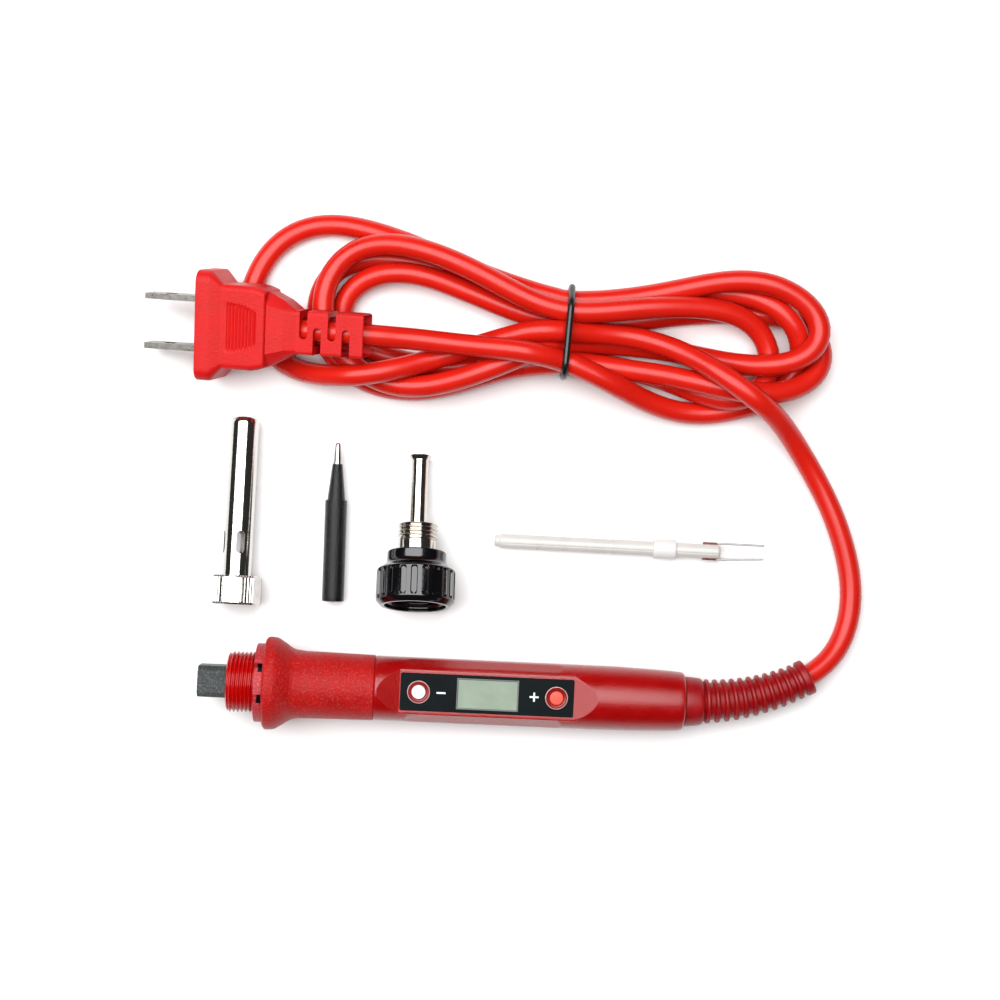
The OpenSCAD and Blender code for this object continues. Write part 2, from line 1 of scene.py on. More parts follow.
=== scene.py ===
# A soldering iron laid out in its pieces on a pale bench: the handle with its display, cord and plug,
# and beside it the sleeve, the tip, the collar and the ceramic heater. Lengths below are millimetres,
# turned into metres where a mesh is made. +Z is up from the bench.
import json
import math

import bmesh
import bpy
import numpy as np
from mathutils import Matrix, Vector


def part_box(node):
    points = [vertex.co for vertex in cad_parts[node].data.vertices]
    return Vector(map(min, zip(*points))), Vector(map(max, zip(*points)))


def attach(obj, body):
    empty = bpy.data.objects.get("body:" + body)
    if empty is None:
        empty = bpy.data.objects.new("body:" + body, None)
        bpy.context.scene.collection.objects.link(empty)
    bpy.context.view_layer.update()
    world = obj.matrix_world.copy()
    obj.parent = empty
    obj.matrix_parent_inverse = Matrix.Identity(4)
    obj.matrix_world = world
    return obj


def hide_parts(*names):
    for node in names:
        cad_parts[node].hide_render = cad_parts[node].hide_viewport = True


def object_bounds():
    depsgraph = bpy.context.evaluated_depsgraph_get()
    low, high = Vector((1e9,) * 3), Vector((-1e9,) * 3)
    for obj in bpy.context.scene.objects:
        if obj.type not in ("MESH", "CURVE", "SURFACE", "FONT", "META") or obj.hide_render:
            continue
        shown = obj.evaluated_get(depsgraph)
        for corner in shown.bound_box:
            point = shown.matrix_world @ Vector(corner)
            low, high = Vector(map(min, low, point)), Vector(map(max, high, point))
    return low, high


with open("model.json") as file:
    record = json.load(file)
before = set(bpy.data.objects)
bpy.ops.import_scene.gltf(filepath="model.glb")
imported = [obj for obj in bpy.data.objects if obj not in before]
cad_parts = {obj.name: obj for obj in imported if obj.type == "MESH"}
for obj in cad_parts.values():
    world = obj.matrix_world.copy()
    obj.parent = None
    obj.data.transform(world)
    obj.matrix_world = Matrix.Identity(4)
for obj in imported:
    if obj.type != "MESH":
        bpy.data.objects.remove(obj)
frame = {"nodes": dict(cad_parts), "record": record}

MM = 0.001
cad_lo, cad_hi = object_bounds()
mounts = {m["name"]: m for m in frame["record"]["mounts"]}


# ---- where each laid piece lies ----

def unit(v):
    v = np.asarray(v, float)
    return v / np.linalg.norm(v)


def full_turn(count):
    return np.linspace(0, 2 * math.pi, count, endpoint=False)


def wrapped(angle):
    return (angle + math.pi) % (2 * math.pi) - math.pi


def climb(value, span):
    """0 below zero and 1 above the span, with a straight run between."""
    return np.clip(value / span, 0, 1)


def added(name, data):
    made = bpy.data.objects.new(name, data)
    bpy.context.scene.collection.objects.link(made)
    return made


class Place:
    """A laid piece's own frame: +X along the piece and +Z the way its top faces, millimetres from its start."""

    def __init__(self, at, along, x_at=0, up=(0, 0, 1), roll=0):
        x = unit(along)
        z = unit(np.asarray(up, float) - np.dot(up, x) * x)
        y = np.cross(z, x)
        c, s = math.cos(math.radians(roll)), math.sin(math.radians(roll))
        self.axes = np.array([x, y * c + z * s, z * c - y * s])
        self.at = np.asarray(at, float) / MM - x * x_at

    def mm(self, points):
        return self.at + np.asarray(points, float) @ self.axes

    def own(self, points):
        return (np.asarray(points, float) - self.at) @ self.axes.T


def mounted(name, sign, x_at, roll=0):
    mount = mounts[name]
    return Place(mount["pos_m"], sign * np.array(mount["axis"]), x_at, roll=roll)


# Each mount's distance from its piece's start
handle = mounted("handle_thread", -1, -33.77)
sleeve = mounted("sleeve_nut_thread", -1, 2.4)
tip = mounted("tip_bore", -1, 12.5)
collar = mounted("barrel_thread", 1, 19.15)
plug = mounted("plug_blades", -1, 0, roll=10)
HEATER_LEN, HEATER_R = 58.8, 1.85
heater_turn, heater_rise = math.radians(-2.9), math.radians(0.85)
heater = Place(
    np.array(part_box("heater_rod")).mean(0),
    (math.cos(heater_turn), math.sin(heater_turn), math.tan(heater_rise)), HEATER_LEN / 2)


# ---- camera: straight down, a little above the middle of the layout ----

cad_mid = (np.array(cad_lo) + np.array(cad_hi)) / 2
CAMERA_SHIFT = (-0.00135, -0.0079)
CAMERA_HEIGHT = 0.48
LENS = 66.0
camera_data = bpy.data.cameras.new("camera")
camera_data.lens = LENS
camera_data.sensor_width = 36
camera_data.clip_start = 0.01
camera = added("camera", camera_data)
camera.location = (cad_mid[0] + CAMERA_SHIFT[0], cad_mid[1] + CAMERA_SHIFT[1], CAMERA_HEIGHT)
bpy.context.scene.camera = camera


# ---- the cord ----

CORD_R = 2.8
RELIEF_X, RELIEF_LEN = 84.4, 28.5
RELIEF_BEND = math.radians(27)
RELIEF_TURN = math.radians(2.5)
RELIEF_R = RELIEF_LEN / RELIEF_BEND


def relief_point(u):
    """The strain relief's centreline in the handle's own frame, u past its smooth ring."""
    a = RELIEF_TURN + u / RELIEF_R
    return (RELIEF_X + RELIEF_R * (math.sin(a) - math.sin(RELIEF_TURN)),
            0.2 + RELIEF_R * (math.cos(RELIEF_TURN) - math.cos(a)), 0)


# The route, from the handle to the plug: four loops to the left of the tie and four to the right.
# A point without a height lies on the bench.
CORD_ROUTE = [
    # from the relief
    (83.3, -22.3, 4.9), (86.5, -16, 3.4), (88.5, -9), (88.5, -2), (87, 5), (84, 15), (79, 25),
    (74, 32.5, 3.6),
    # tail to the tie
    (69.5, 38.5, 8.5), (64, 43, 13.4), (59.5, 46, 16.6), (53.5, 50.5, 13.8), (48.5, 54, 9.8),
    (44.5, 56.5, 8.5), (41, 58, 8.2), (36.5, 59.5, 7.9), (31.5, 60.5, 7.8), (26, 61.5, 8), (20.5, 61.5, 8.8),
    (14.5, 61.5, 9.3),
    # first left loop
    (7.5, 61.5, 9.4), (1, 60.5, 9.2), (-2.5, 60, 8.8), (-9, 58, 8.6), (-15.5, 56.5, 9), (-21.5, 54.5, 10),
    (-27.5, 52.5, 12), (-33, 51.5, 13.4), (-39, 50.5, 12), (-46, 51, 7.5), (-53, 52, 4), (-59, 54),
    (-64.5, 58.5), (-67.5, 64.5), (-68, 70.5), (-66, 75.5), (-63.5, 82), (-59, 86.5), (-53, 89.5),
    (-47.5, 90.5), (-40.5, 89.5), (-34.5, 88), (-30, 86.5, 3.2), (-25.5, 84.5, 5), (-20.5, 82.5, 7.2),
    (-13, 79, 7.9), (-5, 76, 8.2), (2.5, 73.5, 8.6), (9, 71.5, 9.2), (14.5, 70, 9.6),
    # first right loop
    (23, 70, 9.2), (29.5, 70.5, 8.6), (36, 71.5, 8.2), (45.5, 73, 8), (52.5, 74.5, 7.7), (59, 75, 7.4),
    (65.5, 74, 6.9), (72, 71.5, 6.4), (77.5, 67.5, 7), (80, 63, 8), (79.5, 58.5, 8.6), (75.5, 55.5, 8.6),
    (69.5, 53.5, 8.4), (63, 53.5, 7.6), (58, 54, 5), (53, 55, 2.9), (46.5, 56.5), (41.5, 57.5), (36, 58.5),
    (29, 59, 3), (22, 59, 3.8), (14.5, 59.5, 4.6),
    # second left loop
    (9, 57.5, 4.4), (4.5, 56, 5.2), (0, 54.5, 6.8), (-4.5, 52.5, 8), (-10.5, 50.5, 8.4), (-16.5, 49, 8.4),
    (-22, 48, 8.4), (-27.5, 48, 8.4), (-33, 49, 8.3), (-37, 51.5, 8.2), (-41.5, 54.5, 8), (-45, 58.5, 8),
    (-47.5, 63.5, 8), (-48.5, 68.5, 8), (-47.5, 73, 8.2), (-45.5, 78, 8.6), (-42.5, 81.5, 8.5),
    (-38, 83.5, 8.4), (-31.5, 84.5, 8.8), (-27, 83.5, 9.8), (-23, 82.5, 11.2), (-16.5, 80.5, 12.8),
    (-11, 78, 13.3), (-3, 74, 13.4), (3.5, 70.5, 13.5), (8.5, 68.5, 13.5), (14.5, 66.5, 13.5),
    # second right loop
    (23, 67, 12.2), (30.5, 67.5, 10.4), (38.5, 68, 8.8), (46, 68, 8.2), (52.5, 67.5, 7.6), (59, 66, 6),
    (63.5, 63.5, 4), (66.5, 59.5), (67.5, 55), (66.5, 51, 3.6), (64.5, 47, 6.4), (61.5, 44.5, 8),
    (55.5, 44.5, 7.8), (50, 46, 5.8), (45.5, 48, 3.6), (39.5, 50.5), (33.5, 52), (27, 53.5, 3),
    (20.5, 54, 3.8), (14.5, 54.5, 4.6),
    # third left loop
    (9, 55, 3.8), (2.5, 55, 2.9), (-2.5, 54.5), (-9, 53.5), (-15.5, 53.5), (-21.5, 53.5), (-27.5, 55),
    (-32.5, 57), (-37, 58), (-41, 60.5), (-44, 64.5), (-44, 70), (-41, 73.5), (-36, 76.5, 4.4),
    (-29.5, 77.5, 6.6), (-24, 77, 7.2), (-19, 75.5, 7.4), (-13, 73.5, 7.4), (-7.5, 71, 7.2), (-2, 69, 6.6),
    (5, 66.5, 5.4), (9.5, 65.5, 4.5), (14.5, 64.5, 4.6),
    # third right loop
    (20.5, 65, 3.8), (27, 65.5, 3), (35, 66.5), (42, 67), (50, 67.5), (58.5, 67), (66.5, 67), (72, 66),
    (77, 64), (80.5, 60.5), (81.5, 57, 3.2), (80, 52.5, 4.8), (77, 49.5, 6.6), (72, 47, 8.6), (66, 46, 10.8),
    (60, 46.5, 12.4), (54, 47.5, 11.6), (49.5, 48.5, 10), (43.5, 50, 8.6), (37, 51.5, 8.4), (31, 52, 8.4),
    (25.5, 52.5, 8.6), (20, 53.5, 9.1), (14.5, 54.5, 9.4),
    # fourth left loop
    (9, 54.5, 7), (4, 53.5, 4.4), (-2.5, 52.5), (-9, 50.5), (-15.5, 48.5), (-22, 47.5), (-28, 47.5),
    (-33.5, 48.5), (-39, 50.5), (-43.5, 53.5), (-47, 58), (-49.5, 63), (-50, 68), (-49.5, 73.5), (-47, 77.5),
    (-43, 80), (-38, 81.5), (-31.5, 81.5), (-25, 80.5), (-18.5, 79), (-12, 77), (-5.5, 74.5), (1, 72, 3.2),
    (8, 70.5, 4.2), (14.5, 69.5, 4.6),
    # fourth right loop
    (20.5, 69.5, 4), (27, 70, 3.2), (33.5, 70.5), (39, 71), (45.5, 72.5), (52.5, 72.5), (59, 72, 3),
    (64.5, 70.5, 4.6), (69, 68, 7.2), (72, 64.5, 8.2), (74, 61.5, 6), (75.5, 58.5, 3.4), (75.5, 55),
    (74.5, 52), (71.5, 49), (68.5, 46.5), (64.5, 44.5), (59.5, 43.5), (55, 42), (49.5, 41), (42, 42),
    (36, 44, 3.4), (30.5, 46.5, 6.5), (25.5, 49, 10.2), (20, 51.5, 13), (14, 54, 14),
    # to the plug
    (9.5, 55, 14.4), (4, 56, 14.4), (-1.5, 57, 14.3), (-8, 57.5, 14.2), (-15.5, 58.5, 14.6),
    (-21.5, 59.5, 15.3), (-27, 60, 16.2), (-31.5, 60, 17.2),
]
TIE_AT = (14.7, 61.8)
TIE_ALONG = (math.cos(math.radians(-5.6)), math.sin(math.radians(-5.6)))
TIE_R = 0.85
tie_mid, tie_along = np.array(TIE_AT), np.array(TIE_ALONG)
tie_side = np.array([-tie_along[1], tie_along[0]])
# How far the strands' centres may stand from the tie's middle and from the bench, inside the tie
TIE_HALF_W, TIE_LOW, TIE_HIGH = 8.1, 4.6, 14.2
# Where four strands cross at the lower right
KNOT_AT = (61, 46)
# The plug's half thickness and half width along it, for the strands below it
PLUG_X = (0, 3.7, 6.6, 14.3, 17.8, 22.6, 25.5, 43.2)
PLUG_HALF_T = (8, 8, 6.5, 6.5, 6.4, 5.6, 4.4, 4.2)
PLUG_HALF_W = (13.5, 13.5, 10.75, 10.75, 9.8, 7.3, 5.4, 5.25)


def even_curve(p, step):
    """A smooth curve through the points, cut into even steps."""
    t = np.concatenate([[0], np.cumsum(np.sqrt(np.linalg.norm(np.diff(p, axis=0), axis=1)))])
    gap = np.diff(t)[:, None]
    slope = np.diff(p, axis=0) / gap
    m = np.zeros_like(p)
    m[1:-1] = slope[:-1] + slope[1:] - (p[2:] - p[:-2]) / (gap[:-1] + gap[1:])
    m[0], m[-1] = slope[0], slope[-1]
    s = np.linspace(0, 1, 12, endpoint=False)[:, None]
    out = []
    for i in range(len(p) - 1):
        h = gap[i, 0]
        out.append((2 * s**3 - 3 * s**2 + 1) * p[i] + (s**3 - 2 * s**2 + s) * h * m[i]
                   + (3 * s**2 - 2 * s**3) * p[i + 1] + (s**3 - s**2) * h * m[i + 1])
    out = np.concatenate(out + [p[-1:]])
    far = np.concatenate([[0], np.cumsum(np.linalg.norm(np.diff(out, axis=0), axis=1))])
    want = np.linspace(0, far[-1], int(round(far[-1] / step)) + 1)
    return np.stack([np.interp(want, far, out[:, k]) for k in range(3)], 1)


def bends(p, k):
    """How far each point stands off a curve of even bend through its neighbours k and 2k away."""
    out = np.zeros_like(p)
    out[2 * k:-2 * k] = (4 * (p[k:-3 * k] + p[3 * k:-k]) - 6 * p[2 * k:-2 * k] - p[:-4 * k] - p[4 * k:]) / 8
    return out


def settle(p, rounds=400):
    """Lets the strands come to rest: each keeps its course, sinks to the bench or to the strand below it,
    and stays a diameter from the others, a little less where the tie squeezes them."""
    n = len(p)
    order = np.arange(n)
    held = ((order > 15) & (order < n - 10))[:, None]
    free = (order > 13) & (order < n - 8)
    for _ in range(14):
        p = p + (0.3 * bends(p, 1) + 0.15 * bends(p, 3)) * held
    course = p.copy()
    first, second = np.where(np.triu(np.ones((n, n), bool), 8))
    d = CORD_R * 2
    for turn in range(rounds):
        if turn % 10 == 0:
            apart = ((p[first] - p[second]) ** 2).sum(1)
            near_a, near_b = first[apart < 100], second[apart < 100]
        move = (course - p) * (0.09, 0.09, 0)
        move[:, 2] -= 0.02 * (1 - turn / rounds)
        lap = np.zeros_like(p)
        lap[1:-1] = (p[:-2] + p[2:]) / 2 - p[1:-1]
        move += 0.4 * bends(p, 1) + 0.12 * bends(p, 3) + 0.05 * lap * (0, 0, 1)
        p = p + move * free[:, None]
        for _ in range(3):
            close = (np.abs(p[near_a] - p[near_b]) < d).all(1)
            a, b = near_a[close], near_b[close]
            off = p[a] - p[b]
            dist = np.linalg.norm(off, axis=1)
            from_tie = np.abs((p[a, :2] - tie_mid) @ tie_along)
            from_knot = ((p[a, :2] - KNOT_AT) ** 2).sum(1)
            need = d - 0.6 * np.exp(-(from_tie / 9) ** 4) - 0.6 * np.exp(-(from_knot / 81) ** 2)
            close = dist < need
            a, b, off, dist, need = a[close], b[close], off[close], dist[close], need[close]
            push = off / np.maximum(dist, 1e-6)[:, None] * ((need - dist) * 0.3)[:, None] * (0.45, 0.45, 1)
            total, count = np.zeros_like(p), np.zeros(n)
            for strand, share in ((a, push), (b, -push)):
                np.add.at(total, strand, share)
                np.add.at(count, strand, 1)
            p = p + total / np.sqrt(np.maximum(count, 1))[:, None] * free[:, None]
            p[free, 2] = np.maximum(p[free, 2], CORD_R)
            within = (np.abs((p[:, :2] - tie_mid) @ tie_along) < 2.2) & free
            v = (p[:, :2] - tie_mid) @ tie_side
            p[within, :2] += (np.clip(v, -TIE_HALF_W, TIE_HALF_W) - v)[within, None] * tie_side
            p[within, 2] = np.clip(p[within, 2], TIE_LOW, TIE_HIGH)
            q = plug.own(p)
            half_t, half_w = (np.interp(q[:, 0], PLUG_X, h) for h in (PLUG_HALF_T, PLUG_HALF_W))
            inside = q[:, 2] + half_t + CORD_R
            under = (q[:, 0] > -2) & (q[:, 0] < 44.5) & (np.abs(q[:, 1]) < half_w + 2)
            under &= free & (order < n - 30) & (inside > 0)
            p[under] -= inside[under, None] * plug.axes[2] * 0.5
            p[free, 2] = np.maximum(p[free, 2], CORD_R)
    return p


cord_head = handle.mm([relief_point(u) for u in (0, 4, 10, 16, 22, 28.5)])
cord_tail = plug.mm([(43.2, 0, 0), (36, 0, 0), (25.4, 0, 0)])
cord_mid = np.array([(*point, CORD_R)[:3] for point in CORD_ROUTE], float)
cord_path = settle(even_curve(np.concatenate([cord_head, cord_mid, cord_tail]), 2.0))

curve = bpy.data.curves.new("supply_cord", "CURVE")
curve.dimensions = "3D"
curve.bevel_depth = 1.0
curve.bevel_resolution = 7
curve.use_fill_caps = True
spline = curve.splines.new("POLY")
spline.points.add(len(cord_path) - 1)
spline.points.foreach_set("co", np.hstack([cord_path * MM, np.ones((len(cord_path), 1))]).ravel())
spline.points.foreach_set("radius", [CORD_R * MM] * len(cord_path))
spline.use_smooth = True
cord = added("supply_cord", curve)
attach(cord, "handle")
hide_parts("cord_lead", "cord_hank", "cord_plug_end")


# ---- materials ----

def node_of(tree, kind, **values):
    made = tree.nodes.new(kind)
    for key, value in values.items():
        if key in made.inputs:
            made.inputs[key].default_value = value
        else:
            setattr(made, key, value)
    return made


def ranged(tree, value, from_min, from_max, to_min, to_max):
    """The output of a value taken from one range to another."""
    made = node_of(tree, "ShaderNodeMapRange")
    for key, number in (("From Min", from_min), ("From Max", from_max), ("To Min", to_min), ("To Max", to_max)):
        made.inputs[key].default_value = number
    tree.links.new(value, made.inputs["Value"])
    return made.outputs["Result"]


paints = {}


def finish(name, colour, rough, spread, grain, bump=0.02, metal=0.0, patch=6.0, shade=0.12, specks=0.0,
           ior=1.5):
    """A moulded, turned or printed surface: grain gives the size of its fine relief and patch of its slow
    changes in tone, both in millimetres. spread is how far its roughness wanders and shade its tone."""
    made = bpy.data.materials.new(name)
    made.use_nodes = True
    tree = made.node_tree
    shader = tree.nodes["Principled BSDF"]
    shader.inputs["Metallic"].default_value = metal
    shader.inputs["IOR"].default_value = ior
    where = node_of(tree, "ShaderNodeTexCoord").outputs["Object"]
    fine = node_of(tree, "ShaderNodeTexNoise", Scale=1000 / grain, Detail=3.0, Roughness=0.6)
    slow = node_of(tree, "ShaderNodeTexNoise", Scale=1000 / patch, Detail=4.0, Roughness=0.55)
    for noise in (fine, slow):
        tree.links.new(where, noise.inputs["Vector"])
    tone = ranged(tree, slow.outputs["Fac"], 0.3, 0.7, 1 - shade, 1 + shade * 0.5)
    hue = node_of(tree, "ShaderNodeHueSaturation", Color=(*colour, 1))
    tree.links.new(tone, hue.inputs["Value"])
    ink = hue.outputs["Color"]
    if specks:
        blend = node_of(tree, "ShaderNodeMix", data_type="RGBA")
        under, over = (q for q in blend.inputs if q.type == "RGBA")
        tree.links.new(ink, under)
        over.default_value = (*[c + (1 - c) * 0.35 for c in colour], 1)
        tree.links.new(ranged(tree, fine.outputs["Fac"], 0.52, 0.72, 0, specks), blend.inputs["Factor"])
        ink = [q for q in blend.outputs if q.type == "RGBA"][0]
    tree.links.new(ink, shader.inputs["Base Color"])
    gloss = ranged(tree, slow.outputs["Fac"], 0.3, 0.7, max(rough - spread, 0.02), rough + spread)
    tree.links.new(gloss, shader.inputs["Roughness"])
    relief = node_of(tree, "ShaderNodeBump", Distance=bump * MM)
    tree.links.new(fine.outputs["Fac"], relief.inputs["Height"])
    tree.links.new(relief.outputs["Normal"], shader.inputs["Normal"])
    paints[name] = made
    return made


finish("body_red", (0.3, 0.0008, 0.001), 0.23, 0.05, 0.34, 0.07, shade=0.1)
finish("rim_red", (0.4, 0.007, 0.009), 0.34, 0.08, 0.35, 0.14, specks=0.25, ior=1.35)
finish("grip_red", (0.4, 0.003, 0.002), 0.42, 0.08, 0.45, 0.2, shade=0.16, ior=1.27, specks=0.14)
finish("thread_red", (0.42, 0.0015, 0.0015), 0.18, 0.05, 0.3, 0.008)
finish("ring_red", (0.43, 0.02, 0.028), 0.42, 0.1, 0.35, 0.16, specks=0.4, ior=1.35)
# Near-black painted shade for the inside of the vent ring's slots
finish("slot_painted_shade", (0.004, 0.004, 0.005), 0.6, 0.1, 0.5, ior=1.2)
finish("socket_grey", (0.03, 0.036, 0.036), 0.4, 0.08, 0.45, 0.2, specks=0.3, ior=1.35)
finish("relief_red", (0.27, 0.002, 0.004), 0.4, 0.06, 0.6, 0.03, patch=3, shade=0.2, ior=1.4)
finish("cord_red", (0.56, 0.01, 0.004), 0.3, 0.04, 1.2, 0.006, patch=9, shade=0.06, ior=1.42)
finish("plug_red", (0.54, 0.005, 0.005), 0.42, 0.05, 0.4, 0.13, shade=0.08, ior=1.3)
finish("panel_dark", (0.003, 0.006, 0.007), 0.3, 0.05, 0.5, 0.004, patch=10, shade=0.5, ior=1.12)
finish("lcd_green", (0.25, 0.31, 0.24), 0.4, 0.05, 0.3, 0.002, patch=3.5, shade=0.1, ior=1.3)
finish("lcd_edge", (0.16, 0.17, 0.16), 0.35, 0.05, 0.3, 0.02, ior=1.4)
finish("mark_white", (0.75, 0.75, 0.75), 0.45, 0.05, 0.2, 0.003, shade=0.03)
finish("cap_white", (0.8, 0.8, 0.8), 0.4, 0.05, 0.4, 0.005, shade=0.02)
finish("cap_orange", (0.75, 0.06, 0.025), 0.45, 0.05, 0.4, 0.01, shade=0.04)
finish("bezel_red", (0.24, 0.005, 0.005), 0.3, 0.05, 0.4, 0.02)
# Pale, half-metal paint for the surrounds' outer lip: a painted highlight on the red rim
finish("bezel_lip_painted_highlight", (0.36, 0.25, 0.25), 0.3, 0.1, 0.35, 0.04, metal=0.5)
finish("nickel", (0.6, 0.585, 0.56), 0.085, 0.04, 0.5, 0.012, metal=1, patch=8, shade=0.08)
finish("sleeve_inside", (0.3, 0.285, 0.26), 0.35, 0.1, 0.5, 0.02, metal=1, patch=3, shade=0.2)
finish("nut_nickel", (0.5, 0.485, 0.46), 0.09, 0.05, 0.5, 0.03, metal=1, patch=3, shade=0.2)
finish("pipe_nickel", (0.58, 0.55, 0.505), 0.1, 0.05, 0.6, 0.01, metal=1, patch=4, shade=0.12)
finish("tip_black", (0.001, 0.0015, 0.002), 0.14, 0.07, 0.4, 0.2, specks=0.02, ior=1.38)
finish("tip_tin", (0.5, 0.48, 0.455), 0.16, 0.06, 0.4, 0.03, metal=1, patch=2, shade=0.2)
finish("nut_black", (0.002, 0.002, 0.003), 0.13, 0.05, 0.7, 0.02, shade=0.3, ior=1.62)
finish("ceramic", (0.55, 0.535, 0.51), 0.3, 0.06, 0.5, 0.01, patch=5, shade=0.05)
finish("band_white", (0.66, 0.655, 0.64), 0.5, 0.06, 0.4, 0.02, patch=3, shade=0.04)
finish("braze", (0.2, 0.055, 0.035), 0.45, 0.1, 0.3, 0.06, metal=0.3, patch=0.8, shade=0.5)
finish("lead_grey", (0.36, 0.36, 0.35), 0.35, 0.1, 0.4, 0.01, metal=1, patch=2, shade=0.2)
finish("tie_black", (0.006, 0.007, 0.008), 0.3, 0.06, 0.5, 0.01, shade=0.3)
finish("blade_nickel", (0.15, 0.142, 0.13), 0.34, 0.12, 0.6, 0.04, metal=1, patch=1.6, shade=0.6)
finish("bridge_cream", (0.75, 0.71, 0.6), 0.5, 0.05, 0.4)
finish("board_green", (0.015, 0.14, 0.05), 0.4, 0.1, 0.6, 0.02, patch=2)
finish("chip_black", (0.012, 0.012, 0.013), 0.5, 0.1, 0.2, 0.01)
finish("film_yellow", (0.65, 0.48, 0.04), 0.3, 0.05, 0.5, 0.01)
finish("glass_grey", (0.2, 0.24, 0.2), 0.15, 0.05, 0.6, 0.002)
finish("brass", (0.7, 0.48, 0.2), 0.25, 0.08, 0.4, 0.01, metal=1)
finish("wire_white", (0.75, 0.75, 0.7), 0.5, 0.05, 0.3, 0.02)
finish("wire_black", (0.02, 0.02, 0.02), 0.4, 0.05, 0.3, 0.02)
finish("screw_steel", (0.5, 0.5, 0.5), 0.3, 0.08, 0.3, 0.01, metal=1)

cord.data.materials.append(paints["cord_red"])


# ---- meshes ----

def smoothed(mesh, angle):
    mesh.polygons.foreach_set("use_smooth", [True] * len(mesh.polygons))
    mesh.set_sharp_from_angle(angle=math.radians(angle))


def outward(mesh, weld=False):
    """Turns every face outward, after joining the points that meet."""
    work = bmesh.new()
    work.from_mesh(mesh)
    if weld:
        bmesh.ops.remove_doubles(work, verts=work.verts, dist=1e-7)
    bmesh.ops.recalc_face_normals(work, faces=work.faces)
    work.to_mesh(mesh)
    work.free()


def shell(name, rings, body, nodes, materials, bands=None, sharp=38):
    """A skin of quads over rings of points, its last ring joined to its first. bands gives a material number
    to each ring's strip."""
    n, sides = rings.shape[:2]
    ring, side = np.meshgrid(np.arange(n), np.arange(sides), indexing="ij")
    nxt, turn = (ring + 1) % n, (side + 1) % sides
    quads = np.stack([ring * sides + side, nxt * sides + side, nxt * sides + turn, ring * sides + turn], -1)
    mesh = bpy.data.meshes.new(name)
    mesh.from_pydata((rings.reshape(-1, 3) * MM).tolist(), [], quads.reshape(-1, 4).tolist())
    for material in materials:
        mesh.materials.append(paints[material])
    if bands is not None:
        mesh.polygons.foreach_set("material_index", np.repeat(bands, sides))
    outward(mesh, weld=True)
    smoothed(mesh, sharp)
    made = added(name, mesh)
    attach(made, body)
    if nodes:
        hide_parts(*nodes)
    return made


def eased(points, radius=0.15, count=4, closed=True):
    """An outline of (x, r) points with its corners rounded. A third number is a corner's own radius."""
    out = []
    n = len(points)
    for i, here in enumerate(points):
        b = np.array(here[:2], float)
        if not closed and i in (0, n - 1):
            out.append(b)
            continue
        a, c = np.array(points[i - 1][:2], float), np.array(points[(i + 1) % n][:2], float)
        to_a, to_c = np.linalg.norm(a - b), np.linalg.norm(c - b)
        u, v = (a - b) / to_a, (c - b) / to_c
        angle = math.acos(max(-1, min(1, float(u @ v))))
        want = here[2] if len(here) > 2 else radius
        if want == 0 or angle > math.radians(176):
            out.append(b)
            continue
        cut = min(want / math.tan(angle / 2), 0.48 * to_a, 0.48 * to_c)
        for t in np.linspace(0, 1, count + 1):
            out.append((1 - t) ** 2 * (b + u * cut) + 2 * t * (1 - t) * b + t * t * (b + v * cut))
    return np.array(out)


def stepped(points, step, closed=True):
    """An outline with no stretch longer than a step."""
    out = []
    n = len(points)
    for i in range(n if closed else n - 1):
        a, b = points[i], points[(i + 1) % n]
        k = max(1, int(math.ceil(np.linalg.norm(b - a) / step)))
        out += [a + (b - a) * t / k for t in range(k)]
    return np.array(out if closed else out + [points[-1]])


def curved(points, per=6):
    """A smooth line through (x, r) points."""
    p = np.array(points, float)
    ext = np.vstack([2 * p[0] - p[1], p, 2 * p[-1] - p[-2]])
    out = []
    for i in range(1, len(ext) - 2):
        a, b, c, d = ext[i - 1:i + 3]
        for t in np.linspace(0, 1, per, endpoint=False):
            out.append(0.5 * (2 * b + (c - a) * t + (2 * a - 5 * b + 4 * c - d) * t * t
                              + (3 * b - 3 * c + d - a) * t ** 3))
    return [tuple(q) for q in out] + [tuple(p[-1])]


def turned(name, place, outline, body, nodes, materials, sides=96, wave=None, band=None, sharp=38, spin=None,
           lead=None):
    """An outline of (x, r) turned about the piece's own X. wave(x, a, r) shapes r round the turn, where a is
    the angle from the top, and spin gives each ring its own angles. band(x, r) gives a ring's material.
    lead(x, r) is how far a thread's rings advance in one turn."""
    a = full_turn(sides)[None, :] if spin is None else spin
    a = np.broadcast_to(a, (len(outline), a.shape[1]))
    x = np.broadcast_to(outline[:, :1], a.shape)
    r = np.broadcast_to(outline[:, 1:2], a.shape)
    if wave is not None:
        r = wave(x, a, r)
    if lead is not None:
        turn = wrapped(a)
        x = x + lead(outline[:, :1], outline[:, 1:2]) * turn / (2 * math.pi) * climb(3.1 - np.abs(turn), 0.6)
    rings = place.mm(np.stack([x, -r * np.sin(a), r * np.cos(a)], -1))
    bands = None
    if band is not None:
        mid = (outline + np.roll(outline, -1, 0)) / 2
        bands = [band(*q) for q in mid]
    return shell(name, rings, body, nodes, materials, bands, sharp)


def cutter(place, points, faces):
    """A solid to cut with, from points in the piece's own frame."""
    mesh = bpy.data.meshes.new("cutter")
    mesh.from_pydata((place.mm(points) * MM).tolist(), [], faces)
    outward(mesh)
    return added("cutter", mesh)


def prism(place, outline, low, high, axis=2):
    """A cutter with a flat outline, run from low to high along the axis with this number."""
    n = len(outline)
    points = []
    for level in (low, high):
        for p in outline:
            q = [p[0], p[1]]
            q.insert(axis, level)
            points.append(q)
    faces = [[k, (k + 1) % n, n + (k + 1) % n, n + k] for k in range(n)]
    return cutter(place, points, faces + [list(range(n)), list(range(n, 2 * n))])


